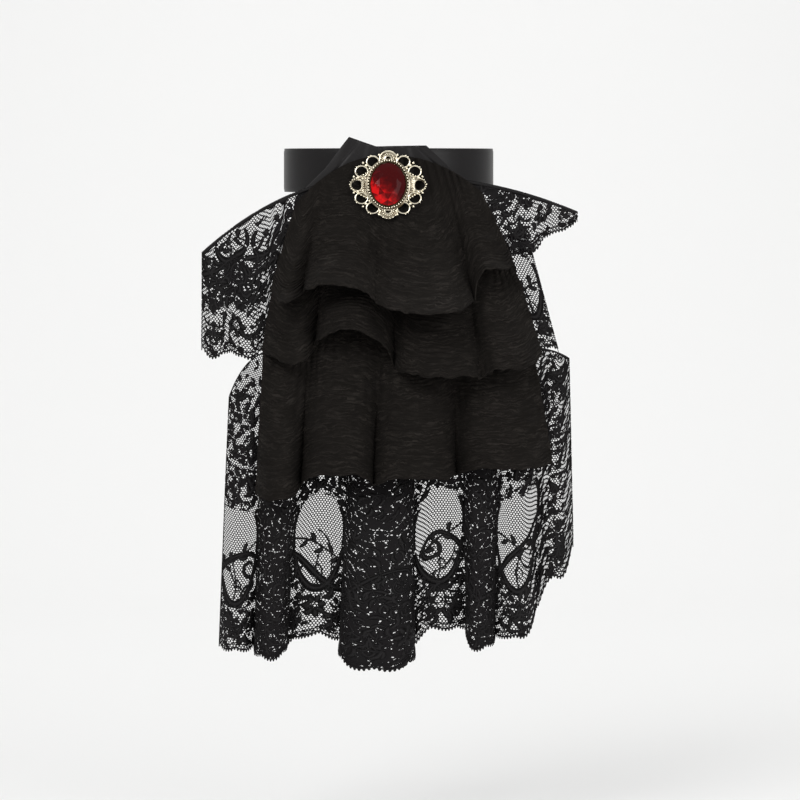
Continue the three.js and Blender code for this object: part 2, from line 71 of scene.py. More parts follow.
class Slot(Enum):
    """The record's material slots."""

    SATIN = "satin"
    CREPE = "crepe"
    LACE = "lace"
    GILT = "gilt_metal"
    STONE = "red_stone"


def ease(value: Array) -> Array:
    """Return a smooth step from 0 to 1 over a share, which is clamped to 0 to 1."""
    share = np.clip(value, 0.0, 1.0)
    return share * share * (3 - 2 * share)


def mix(start: Array, end: Array, share: Array) -> Array:
    """Return a blend of two values, which is the end value at share 1."""
    return start + (end - start) * share


def unit(rows: Array) -> Array:
    """Return vectors at length 1."""
    return rows / np.maximum(np.linalg.norm(rows, axis=-1, keepdims=True), 1e-12)


def oval(half_x: float, half_y: float, angle: Array) -> Array:
    """Return points of an oval at angles counter-clockwise from its right side."""
    return np.stack([half_x * np.cos(angle), half_y * np.sin(angle)], axis=-1)


def circuit(steps: int) -> Array:
    """Return evenly spaced angles of one turn."""
    return np.arange(steps) * TURN / steps


def left_edge(line: Array, widths: Array) -> Array:
    """Find the left edge of a flat line.

    Args:
        line: Its points.
        widths: Its width at each point.

    Returns:
        The offsets from the line to the edge.
    """
    ahead = unit(np.gradient(line, axis=0))
    return np.stack([-ahead[:, 1], ahead[:, 0]], axis=1) * widths[:, None] / 2


def shares(across: int, down: int) -> tuple[Array, Array]:
    """Return the shares of a grid's columns, as one row, and of its rows, as one column."""
    return np.linspace(0, 1, across)[None, :], np.linspace(0, 1, down)[:, None]


@dataclass
class Ripple:
    """Smooth seeded noise from -1 to 1, on a lattice that repeats after some cells."""

    seed: int
    cells: int = 128

    def __post_init__(self) -> None:
        """Draw the lattice."""
        self.lattice = np.random.default_rng(self.seed).uniform(-1, 1, (self.cells, self.cells))

    def at(self, left: Array, low: Array) -> Array:
        """Return the lattice's values at whole places."""
        return self.lattice[left % self.cells, low % self.cells]

    def __call__(self, x: Array, y: Array) -> Array:
        """Read the noise.

        Args:
            x: Places across, in cells.
            y: Places up, in cells.

        Returns:
            The noise at each place.
        """
        x, y = np.broadcast_arrays(x, y)
        left, low = np.floor(x).astype(int), np.floor(y).astype(int)
        over, up = ease(x - left), ease(y - low)
        lower, upper = (mix(self.at(left, line), self.at(left + 1, line), over) for line in (low, low + 1))
        return mix(lower, upper, up)


@dataclass(frozen=True)
class Chest:
    """The surface that the cascade hangs against.

    Attributes:
        reach: Distance of the yoke's middle from the neck's middle.
        radius: Radius of the chest, seen from above.
        slope: Forward lean for each metre down.
        top: Height at which the lean begins.
    """

    reach: float = 61.1 * MM
    radius: float = 450 * MM
    slope: float = 0.05
    top: float = -19 * MM

    def place(self, x: Array, stand_off: Array, z: Array) -> Array:
        """Place points in front of the chest.

        Args:
            x: Places to the right.
            stand_off: Distances in front of the yoke's middle.
            z: Heights.

        Returns:
            Points, with x, y and z along the last axis.
        """
        x, stand_off, z = np.broadcast_arrays(x, stand_off, z)
        lean = self.slope * np.minimum(0, z - self.top)
        return np.stack([x, lean + x * x / (2 * self.radius) - self.reach - stand_off, z], axis=-1)


CHEST = Chest()


@dataclass(frozen=True)
class Fold:
    """A fold of a tier, as shares of its half width, depth and drop.

    Attributes:
        right: Where the fold ends.
        seat: How far its end stands off.
        hang: How low its end hangs.
        out: How far its crest stands off.
        fall: How low its crest hangs.
        curl: How far its sides tuck in under the crest.
        lean: How far the crest leans sideways.
    """

    right: float
    seat: float
    hang: float
    out: float = 0.0
    fall: float = 0.0
    curl: float = 0.0
    lean: float = 0.0


@dataclass
class Tier:
    """A gathered strip of cloth, sewn along its heading and folded towards its hem.

    Attributes:
        wall: Thickness of the space that the cloth has.
        heading: Height of the heading at its middle.
        head: Left and right end of the heading.
        half_width: Half of the hem's width.
        drop: Longest drop from heading to hem.
        depth: Depth of the deepest fold.
        swell: How late the folds open: 1 opens them evenly.
        flare: How early the cloth widens: 1 widens it evenly.
        gather: Depth of the fine gathers under the heading.
        rumple: Depth of the soft dents in the cloth.
        seed: Seed of the gathers and dents.
        under: Fronts of what the tier lies on.
        folds: The folds from left to right, after the left edge.
        gather_pitch: Length of cloth in one gather.
        dip: How far the heading's left and right ends dip.
        dip_power: How late the heading dips.
    """

    wall: float
    heading: float
    head: tuple[float, float]
    half_width: float
    drop: float
    depth: float
    swell: float
    flare: float
    gather: float
    rumple: float
    seed: int
    under: Sequence[Callable[[Array], Array]]
    folds: Sequence[Fold]
    gather_pitch: float = 8 * MM
    dip: tuple[float, float] = (0.0, 0.0)
    dip_power: float = 1.0
    fronts: dict = field(default_factory=dict)

    def __post_init__(self) -> None:
        """Measure the cloth along its hem and down from its heading."""
        self.rows = {name: np.array([getattr(f, name) for f in self.folds]) for name in Fold.__annotations__}
        seat = self.rows["seat"]
        widths = np.diff(self.rows["right"]) * self.half_width
        rises = (self.rows["out"][1:] - (seat[1:] + seat[:-1]) / 2) * self.depth
        self.starts = np.concatenate([[0.0], np.cumsum(np.hypot(widths, 2 * rises))])
        self.length = float(self.starts[-1])
        self.noise = Ripple(self.seed)
        self.levels = np.linspace(-340 * MM, 40 * MM, 191)
        grid = self.surface(*shares(241, 41))
        self.heights = np.linalg.norm(np.diff(grid, axis=0), axis=2).sum(axis=0)

    def edges(self, share: Array) -> dict[str, Array]:
        """Find the heading and the hem.

        Args:
            share: Shares of the cloth's length.

        Returns:
            The places of heading and hem, and the hem's stand-off, by name.
        """
        rows = self.rows
        along = np.clip(share, 0, 1) * self.length
        index = np.clip(np.searchsorted(self.starts, along, side="right") - 1, 0, len(self.folds) - 2)
        turn = (along - self.starts[index]) / (self.starts[index + 1] - self.starts[index])
        fold = {name: values[index + 1] for name, values in rows.items()}
        swell = np.abs(np.sin(math.pi * turn)) ** FOLD_ROUNDNESS
        drift = turn - fold["curl"] * np.sin(TURN * turn) + fold["lean"] * swell
        side = 2 * share - 1
        dip = np.where(side < 0, *self.dip) * np.abs(side) ** self.dip_power
        hang, seat = (mix(rows[name][index], fold[name], ease(turn)) for name in ("hang", "seat"))
        return {
            "head_x": mix(*self.head, share),
            "head_z": self.heading - dip,
            "hem_x": mix(rows["right"][index], fold["right"], drift) * self.half_width,
            "hem_z": self.heading - mix(hang, fold["fall"], swell) * self.drop,
            "out": mix(seat, fold["out"], swell),
        }

    def seat(self, z: Array) -> Array:
        """Return how far what lies under the tier stands off at each height."""
        return np.max([under(z) for under in self.under], axis=0)

    def front(self, z: Array, reach: float = math.inf) -> Array:
        """Find where a tier that lies on this one may begin.

        Args:
            z: Heights.
            reach: Half of the width in which the folds count.

        Returns:
            Stand-offs in front of this tier's foremost fold.
        """
        if reach not in self.fronts:
            edge = self.edges(np.linspace(0, 1, 181))
            fallen = edge["head_z"] - self.levels[:, None]
            down = np.clip(fallen / (edge["head_z"] - edge["hem_z"]), 0, 1)
            x = mix(edge["head_x"], edge["hem_x"], down**self.flare)
            relief = np.where(np.abs(x) < reach, edge["out"] * down**self.swell, 0).max(axis=1)
            cover = ease((self.heading + HEADING_RAMP - self.levels) / HEADING_RAMP)
            self.fronts[reach] = self.seat(self.levels) + cover * (self.wall + TIER_GAP) + self.depth * relief
        return np.interp(z, self.levels, self.fronts[reach])

    def surface(self, share: Array, down: Array) -> Array:
        """Place points of the cloth's middle surface.

        Args:
            share: Shares of the cloth's length.
            down: Shares of the way from heading to hem.

        Returns:
            Points, with x, y and z along the last axis.
        """
        share, down = np.broadcast_arrays(share, down)
        edge = self.edges(share)
        u = share * self.length
        x = mix(edge["head_x"], edge["hem_x"], down**self.flare)
        z = mix(edge["head_z"], edge["hem_z"], down)
        wander = 1.1 * self.noise(u / (3 * self.gather_pitch), down * 1.5)
        pleat = 0.5 + 0.5 * np.sin(TURN * (u / self.gather_pitch + wander))
        depth = 0.45 + 0.55 * self.noise(41 + u / (2.3 * self.gather_pitch), 5 + down)
        gathers = self.gather * pleat * depth * np.exp(-2.4 * down)
        fallen = down * self.drop
        wide = self.noise(7 + u / (24 * MM), 3 + fallen / (30 * MM))
        small = self.noise(19 + u / (11 * MM), 8 + fallen / (17 * MM))
        dents = self.rumple * down * (wide + 0.45 * small)
        out = self.depth * edge["out"] * down**self.swell
        return CHEST.place(x, self.seat(z) + self.wall / 2 + out + gathers + dents, z)

    def height(self, u: Array) -> Array:
        """Return the cloth's height above its hem, at places along it."""
        return np.interp(u / self.length, np.linspace(0, 1, len(self.heights)), self.heights)

    def flat_grid(self, share: Array, down: Array) -> Array:
        """Return the flat places of a grid of shares, with u and v along the last axis."""
        u = share * self.length + 0 * down
        return np.stack([u, (1 - down) * self.height(u)], axis=-1)

    def lay(self, flat: Array) -> Array:
        """Lay flat work on the folded cloth.

        Args:
            flat: Points with u, v and the height above the cloth along the last axis.

        Returns:
            Points of the folded cloth.
        """
        share = flat[..., 0] / self.length
        down = np.maximum(1 - flat[..., 1] / self.height(flat[..., 0]), 0)
        step = 0.002
        across = self.surface(share + step, down) - self.surface(share - step, down)
        downward = self.surface(share, down + step) - self.surface(share, np.maximum(down - step, 0))
        return self.surface(share, down) + unit(np.cross(downward, across)) * flat[..., 2:3]

    def flat_size(self) -> tuple[float, float, float]:
        """Return the cut's width, length and area, which follows the shaped hem."""
        tallest = float(self.heights.max())
        return self.length, tallest, self.length * min(float(self.heights.mean()), tallest)


def show(name: str, data: bpy.types.ID) -> Object:
    """Put data into the scene.

    Args:
        name: Name of the object.
        data: Its mesh, lamp or camera.

    Returns:
        The object.
    """
    thing = bpy.data.objects.new(name, data)
    bpy.context.scene.collection.objects.link(thing)
    return thing


def make_object(name: str, points: Array, faces: Array, uv: Array | None = None) -> Object:
    """Make a smooth mesh object from arrays.

    Args:
        name: Name of the piece.
        points: Corner places, one row each.
        faces: Corner numbers of the faces, all with as many corners.
        uv: Flat places of the corners, in metres, if the finish reads them.

    Returns:
        The object.
    """
    mesh = bpy.data.meshes.new(name)
    count, sides = faces.shape
    mesh.vertices.add(len(points))
    mesh.vertices.foreach_set("co", points.astype(np.float32).ravel())
    mesh.loops.add(count * sides)
    mesh.loops.foreach_set("vertex_index", faces.astype(np.int32).ravel())
    mesh.polygons.add(count)
    mesh.polygons.foreach_set("loop_start", np.arange(count, dtype=np.int32) * sides)
    mesh.polygons.foreach_set("use_smooth", np.ones(count, dtype=bool))
    if uv is not None:
        layer = mesh.uv_layers.new(name="Flat")
        layer.data.foreach_set("uv", uv[faces.ravel()].astype(np.float32).ravel())
    mesh.update(calc_edges=True)
    mesh.validate()
    return show(name, mesh)


def grid_faces(rows: int, columns: int) -> Array:
    """Return the quads of a grid whose points run row by row, facing down-then-across."""
    start = (np.arange(rows - 1)[:, None] * columns + np.arange(columns - 1)).ravel()
    return np.stack([start, start + columns, start + columns + 1, start + 1], axis=1)


def grid_normals(grid: Array) -> Array:
    """Return the normals of a grid of points, which face down-cross-across."""
    return unit(np.cross(np.gradient(grid, axis=0), np.gradient(grid, axis=1)))


def make_wall(name: str, grid: Array, wall: float, flat: Array) -> Object:
    """Close a grid of points into a wall of cloth.

    Args:
        name: Name of the piece.
        grid: Middle surface, as rows of points.
        wall: Thickness of the cloth.
        flat: Flat places of the points.

    Returns:
        The closed piece.
    """
    number = np.arange(grid.shape[0] * grid.shape[1]).reshape(grid.shape[:2])
    rim = np.concatenate([number[0, :-1], number[:-1, -1], number[-1, :0:-1], number[:0:-1, 0]])
    after = np.roll(rim, -1)
    size = number.size
    faces = grid_faces(*number.shape)
    sides = np.stack([rim, after, after + size, rim + size], axis=1)
    every = np.concatenate([faces, faces[:, ::-1] + size, sides])
    normal = grid_normals(grid)
    points = np.concatenate([(grid + side * normal * wall / 2).reshape(-1, 3) for side in (1, -1)])
    return make_object(name, points, every, np.tile(flat.reshape(-1, 2), (2, 1)))


def wrap(piece: Object, slot: Slot, material: Material, *nodes: str) -> Object:
    """Give a piece its body and finish.

    Args:
        piece: The new piece.
        slot: The record's material slot, which is not used.
        material: Its finish.
        nodes: Solids that the piece stands for.

    Returns:
        The same piece.
    """
    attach(piece, "root")
    if nodes:
        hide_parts(*nodes)
    piece.data.materials.append(material)
    log.info("%s: %d faces", piece.name, len(piece.data.polygons))
    return piece


def node_method(operation: str, swapped: bool = False) -> Callable[["Wire", "Value"], "Wire"]:
    """Make an operator's method, which adds a Math node.

    Args:
        operation: The node's operation.
        swapped: Whether its two values are swapped, for a reflected form.

    Returns:
        The method.
    """

    def work(self: "Wire", other: "Value") -> "Wire":
        """Return the node's result."""
        return self.graph.math(operation, *((other, self) if swapped else (self, other)))

    return work


@dataclass(eq=False)
class Wire:
    """A shader socket that takes part in arithmetic; comparisons give 1 or 0."""

    graph: "Graph"
    socket: bpy.types.NodeSocket

    __add__ = __radd__ = node_method("ADD")
    __sub__ = node_method("SUBTRACT")
    __rsub__ = node_method("SUBTRACT", swapped=True)
    __mul__ = __rmul__ = node_method("MULTIPLY")
    __truediv__ = node_method("DIVIDE")
    __rtruediv__ = node_method("DIVIDE", swapped=True)
    __lt__ = node_method("LESS_THAN")
    __gt__ = node_method("GREATER_THAN")


Value = Wire | float


class Graph:
    """The node tree of one finish."""

    def __init__(self, name: str) -> None:
        """Start a finish with a plain shader.

        Args:
            name: Name of the finish.
        """
        self.material = bpy.data.materials.new(name)
        self.material.use_nodes = True
        self.tree = self.material.node_tree
        self.tree.nodes.clear()
        self.shader = self.tree.nodes.new("ShaderNodeBsdfPrincipled")
        output = self.tree.nodes.new("ShaderNodeOutputMaterial")
        self.tree.links.new(self.shader.outputs[0], output.inputs["Surface"])

    def put(self, socket: bpy.types.NodeSocket, value: object) -> None:
        """Fill a socket.

        Args:
            socket: The input socket.
            value: A wire to link, or a value to set.
        """
        if isinstance(value, Wire):
            self.tree.links.new(value.socket, socket)
        else:
            socket.default_value = value

    def add(
        self, kind: str, settings: dict | None = None, inputs: dict | None = None, output: int | str = 0
    ) -> Wire:
        """Add a node.

        Args:
            kind: Type of the node.
            settings: Attributes to set first.
            inputs: Values or wires by the socket's name or number.
            output: The output socket to use.

        Returns:
            The wire of that output.
        """
        node = self.tree.nodes.new(kind)
        for name, value in (settings or {}).items():
            setattr(node, name, value)
        for name, value in (inputs or {}).items():
            self.put(node.inputs[name], value)
        return Wire(self, node.outputs[output])

    def math(self, operation: str, first: Value, second: Value = 0.0) -> Wire:
        """Return the result of a Math node."""
        return self.add("ShaderNodeMath", {"operation": operation}, {0: first, 1: second})

    def vector(self, operation: str, first: object, second: object = None, output: int | str = 0) -> Wire:
        """Return one of the results of a Vector Math node."""
        inputs = {0: first} if second is None else {0: first, 1: second}
        return self.add("ShaderNodeVectorMath", {"operation": operation}, inputs, output)

    def in_millimetres(self, place: Wire) -> Wire:
        """Return a place in millimetres."""
        return self.vector("MULTIPLY", place, (1 / MM, 1 / MM, 1 / MM))

    def flat(self) -> Wire:
        """Return the cloth's flat place."""
        return self.in_millimetres(self.add("ShaderNodeUVMap", {"uv_map": "Flat"}))

    def place(self) -> Wire:
        """Return the place in the model."""
        return self.in_millimetres(self.add("ShaderNodeTexCoord", output="Object"))

    def axis(self, place: Wire, name: str) -> Wire:
        """Return the X, Y or Z of a place."""
        return self.add("ShaderNodeSeparateXYZ", None, {0: place}, name)

    def attribute(self, name: str) -> Wire:
        """Return a number that the piece states for each of its points or faces."""
        return self.add("ShaderNodeAttribute", {"attribute_name": name}, None, "Fac")

    def noise(
        self, place: Wire, grain: float | tuple[float, float], detail: float = 2.0, roughness: float = 0.5
    ) -> Wire:
        """Add noise.

        Args:
            place: Where it is read.
            grain: Size of its grains, the same all round or along the two flat axes.
            detail: Octaves of finer noise in it.
            roughness: Strength of these.

        Returns:
            The noise, about 0.5 on average.
        """
        scaled = self.vector("DIVIDE", place, (*grain, 1.0) if isinstance(grain, tuple) else (grain,) * 3)
        inputs = {"Vector": scaled, "Scale": 1.0, "Detail": detail, "Roughness": roughness}
        return self.add("ShaderNodeTexNoise", None, inputs, "Fac")

    def ramp(self, value: Wire, *stops: tuple[float, float]) -> Wire:
        """Read a ramp.

        Args:
            value: Place on the ramp.
            stops: Its stops: places and their results.

        Returns:
            The result.
        """
        wire = self.add("ShaderNodeValToRGB", None, {"Fac": value}, "Color")
        elements = wire.socket.node.color_ramp.elements
        while len(elements) < len(stops):
            elements.new(1.0)
        for element, (place, tone) in zip(elements, stops):
            element.position = place
            element.color = (tone, tone, tone, 1)
        return wire

    def tint(self, share: Wire, dark: Colour, light: Colour) -> Wire:
        """Return a colour between two."""
        inputs = {"Factor": share, 6: (*dark, 1), 7: (*light, 1)}
        return self.add("ShaderNodeMix", {"data_type": "RGBA"}, inputs, 2)

    def set(self, **values: object) -> "Graph":
        """Set the shader's sockets.

        Args:
            values: Values or wires by the socket's name, with underscores for spaces.

        Returns:
            The same graph.
        """
        for name, value in values.items():
            self.put(self.shader.inputs[name.replace("_", " ")], value)
        return self

    def bump(self, height: Wire, depth: float, strength: float) -> "Graph":
        """Raise the surface's normal.

        Args:
            height: Height, from 0 to 1.
            depth: Depth of a height of 1, in metres.
            strength: Share of the bump that shows.

        Returns:
            The same graph.
        """
        inputs = {"Height": height, "Distance": depth, "Strength": strength}
        return self.set(Normal=self.add("ShaderNodeBump", None, inputs, "Normal"))


@dataclass(frozen=True)
class Finish:
    """A finish that runs from a dark to a light colour.

    Attributes:
        dark: Its darkest colour.
        light: Its lightest colour.
        specular: Level of its shine.
        depth: Depth of its relief.
        strength: Share of the relief that shows.
    """

    dark: Colour
    light: Colour
    specular: float
    depth: float
    strength: float

    def dress(self, graph: Graph, tone: Value, roughness: Value, relief: Value) -> Material:
        """Set the shader of a graph.

        Args:
            graph: The finish's graph.
            tone: Share of the light colour.
            roughness: Roughness.
            relief: Height of the relief, from 0 to 1.

        Returns:
            The material.
        """
        colour = graph.tint(tone, self.dark, self.light)
        graph.set(Base_Color=colour, Roughness=roughness, Specular_IOR_Level=self.specular)
        return graph.bump(relief, self.depth, self.strength).material


@dataclass(frozen=True)
class CrepeFinish(Finish):
    """Matt crinkled crepe, with raised threads that wander across it, painted lighter on their ridges as a
    painted highlight.

    Attributes:
        twist: Length of a thread's twist and distance between threads, in millimetres.
        smooth_from: Height above the hem, in millimetres, above which the threads are pulled smooth.
        fade: Height over which they smooth out.
    """

    dark: Colour = (0.0086, 0.0074, 0.0064)
    light: Colour = (0.0225, 0.0192, 0.0168)
    specular: float = 0.08
    depth: float = 0.4 * MM
    strength: float = 0.9
    twist: tuple[float, float] = (12.0, 0.95)
    smooth_from: float = 200.0
    fade: float = 30.0

    def material(self) -> Material:
        """Build the finish.

        Returns:
            The material.
        """
        graph = Graph("crinkled_crepe")
        flat = graph.flat()
        loose = graph.ramp((self.smooth_from - graph.axis(flat, "Y")) / self.fade, (0.0, 0.12), (1.0, 1.0))
        rise = graph.noise(flat, (11.0, 6.0), 3.0, 0.6) * 8.0 + graph.noise(flat, (2.6, 5.0), 1.0) * 1.3
        bent = graph.vector("ADD", flat, graph.add("ShaderNodeCombineXYZ", None, {"Y": rise}))
        ridge = graph.ramp(graph.noise(bent, self.twist, 2.0, 0.55), (0.44, 0.0), (0.54, 0.4), (0.63, 1.0))
        patch = graph.ramp(graph.noise(flat, (26.0, 12.0)), (0.38, 0.4), (0.62, 1.0))
        weave = graph.noise(flat, (0.45, 0.35), 1.0)
        # Painted highlight: the raised thread ridges get the lighter colour, as well as the relief.
        shown = ridge * patch * loose
        return self.dress(graph, shown * (0.5 + weave), 0.95 - shown * 0.2, shown * 0.8 + weave * 0.2)


@dataclass(frozen=True)
class SatinFinish(Finish):
    """Smooth black satin, whose long floats shine along the weave."""

    dark: Colour = (0.004, 0.0033, 0.0035)
    light: Colour = (0.0085, 0.007, 0.0074)
    specular: float = 0.26
    depth: float = 0.05 * MM
    strength: float = 0.6

    def material(self) -> Material:
        """Build the finish.

        Returns:
            The material.
        """
        graph = Graph("black_satin")
        flat = graph.flat()
        floats = graph.noise(flat, (0.25, 2.6))
        slub = graph.noise(flat, (9.0, 30.0))
        return self.dress(graph, floats, 0.3 + floats * 0.1 + slub * 0.06, floats * 0.7 + slub * 0.3)


@dataclass(frozen=True)
class LaceWorkFinish(Finish):
    """The close-stitched thread of the lace's raised work."""

    dark: Colour = (0.0022, 0.0019, 0.002)
    light: Colour = (0.0105, 0.0092, 0.0097)
    specular: float = 0.18
    depth: float = 0.12 * MM
    strength: float = 0.8

    def material(self) -> Material:
        """Build the finish.

        Returns:
            The material.
        """
        graph = Graph("lace_thread")
        flat = graph.flat()
        stitches = graph.noise(flat, (0.35, 1.4))
        cover = graph.noise(flat, (6.0, 6.0), 1.0)
        return self.dress(graph, stitches * (0.5 + cover), 0.7 - stitches * 0.2, stitches)


@dataclass(frozen=True)
class PileFinish(Finish):
    """The matt pile of the hook-and-loop pad, whose loops have a size in millimetres."""

    dark: Colour = (0.006, 0.006, 0.007)
    light: Colour = (0.03, 0.03, 0.032)
    specular: float = 0.15
    depth: float = 0.4 * MM
    strength: float = 1.0
    loop: float = 2 / 3

    def material(self) -> Material:
        """Build the finish.

        Returns:
            The material.
        """
        graph = Graph("fastener_pile")
        loops = graph.noise(graph.place(), self.loop, 2.0, 0.6)
        return self.dress(graph, loops, 0.95 - loops * 0.1, loops)


@dataclass(frozen=True)
class GiltFinish(Finish):
    """Pale gilt, with a painted highlight on its raised parts and painted shade, brown, in its hollows.

    Attributes:
        grain: Size of the casting's grain, in millimetres.
        wear: Size of the worn patches, in millimetres.
        shaped: Whether the piece states each point's painted highlight and shade; a plain piece is bright all
            over.
    """

    dark: Colour = (0.085, 0.06, 0.032)
    light: Colour = (0.95, 0.88, 0.7)
    specular: float = 0.5
    depth: float = 0.06 * MM
    strength: float = 0.5
    grain: float = 10 / 9
    wear: float = 6.25
    shaped: bool = True

    def material(self) -> Material:
        """Build the finish.

        Returns:
            The material.
        """
        graph = Graph("pale_gilt" if self.shaped else "plain_gilt")
        place = graph.place()
        cast = graph.noise(place, self.grain, 3.0, 0.6)
        worn = graph.noise(place, self.wear)
        # Painted light: each point's stated height gives a painted highlight on raised parts and painted
        # shade in hollows; random wear and casting grain are mixed in.
        share = graph.attribute("painted_shine") if self.shaped else 0.8 + worn * 0.2
        painted_shine_and_wear = share + (worn - 0.5) * 0.7 + (cast - 0.5) * 0.5
        shine = graph.ramp(painted_shine_and_wear, (0.35, 0.0), (0.62, 0.45), (0.9, 1.0))
        return self.dress(graph.set(Metallic=1.0), shine, 0.38 - shine * 0.22, cast)


@dataclass(frozen=True)
class RubyFinish:
    """Clear red cut glass, with painted light: brighter and glowing towards its lower left.

    Attributes:
        deep: Colour of the facets in painted shade.
        bright: Colour of the facets with painted light shining through them.
        glow: Painted glow, an emission colour, of those bright facets.
        swirl: Size of the stone's clouds, in millimetres.
    """

    deep: Colour = (0.05, 0.0025, 0.003)
    bright: Colour = (0.6, 0.007, 0.008)
    glow: Colour = (0.5, 0.0, 0.002)
    swirl: float = 100 / 33

    def material(self) -> Material:
        """Build the finish.

        Returns:
            The material.
        """
        graph = Graph("red_cut_glass")
        place = graph.place()
        cloud = graph.noise(place, self.swirl, 3.0) - 0.5
        across = graph.axis(place, "X") / (STONE_HALF[0] / MM)
        up = (graph.axis(place, "Z") - STONE_MIDDLE / MM) / (STONE_HALF[1] / MM)
        # Painted light: the stone is painted brighter towards its lower left, and random facet tones and
        # clouds vary it.
        lit = (graph.attribute("facet_tone") - 0.5) * 0.5 + cloud * 0.9 - up * 0.62 - across * 0.5
        painted_fire = graph.ramp(lit, (0.0, 0.0), (0.36, 0.13), (0.48, 0.35), (0.68, 1.0))
        colour = graph.tint(painted_fire, self.deep, self.bright)
        # Painted glow: the lit facets emit light, though the stone is no lamp.
        glow = graph.tint(painted_fire, (0.0, 0.0, 0.0), self.glow)
        graph.set(Base_Color=colour, Roughness=0.06, Specular_IOR_Level=0.09)
        return graph.set(Emission_Color=glow, Emission_Strength=0.12).material


@dataclass(frozen=True)
class Hem:
    """The scalloped edge of the lace, whose arches hang down between low cusps.

    Attributes:
        scallop: Width of an arch.
        height: Height of the cusps above the cloth's end.
        depth: How far an arch hangs below its cusps.
    """

    scallop: float = 16 * MM
    height: float = 4.6 * MM
    depth: float = 2.4 * MM

    def at(self, u: Array) -> Array:
        """Return the edge's height at places along the cloth."""
        return self.height - self.depth * np.abs(np.sin(math.pi * u / self.scallop))


HEM = Hem()


@dataclass(frozen=True)
class Window:
    """Windows of plain net between the motifs: ovals that narrow towards their foot.

    Attributes:
        middles: Places of their middles along the hem.
        height: Height of their middles above the hem.
        half_width: Half of the oval's width.
        half_height: Half of its height.
        pinch: How much narrower than the oval a window is at its middle.
        taper: How much that grows towards the foot and shrinks towards the head.
        frame: How much wider and higher than the window its cords run.
    """

    middles: tuple[float, ...]
    height: float
    half_width: float
    half_height: float
    pinch: float = 1.2
    taper: float = 0.4
    frame: tuple[float, float] = (1.05, 1.04)

    def holds(self, u: float, v: float) -> bool:
        """Test a flat place.

        Args:
            u: Place along the hem.
            v: Height above the hem.

        Returns:
            Whether it lies in a window.
        """
        up = (v - self.height) / self.half_height
        width = self.half_width / (self.pinch - self.taper * up)
        return any(((u - middle) / width) ** 2 + up * up < 1 for middle in self.middles)

    def outline(self, middle: float, start: float, end: float, steps: int) -> Array:
        """Draw the cords' line round a window.

        Args:
            middle: Place of the window's middle along the hem.
            start: First angle, counter-clockwise from its right side.
            end: Last angle.
            steps: Points along it.

        Returns:
            The line's points.
        """
        angle = np.linspace(start, end, steps)
        half_width = self.half_width * self.frame[0] / (self.pinch - self.taper * np.sin(angle))
        return np.array([middle, self.height]) + oval(half_width, self.half_height * self.frame[1], angle)


@dataclass(frozen=True)
class Ground:
    """How close the ground between the motifs is worked.

    Attributes:
        bands: Heights above the hem, in millimetres, and the share of the ground worked there.
        leaves: Lowest and highest height of a band of leaves, and the share of places that have one.
        close: Starts and ends, along the hem and in millimetres, of the stretches that are worked closer;
            they lie in the flutes, where the denser lace stands for doubled layers and partly for painted
            shade.
    """

    bands: tuple[tuple[float, float], ...] = (
        (0, 0.3), (6, 0.5), (34, 0.52), (42, 0.48), (60, 0.52), (90, 0.54), (150, 0.54), (175, 0.46),
        (200, 0.46),
    )
    leaves: tuple[tuple[float, float, float], ...] = (
        (7 * MM, 38 * MM, 0.7), (38 * MM, 100 * MM, 0.6), (100 * MM, 170 * MM, 0.7),
    )
    close: tuple[tuple[float, float], ...] = ()


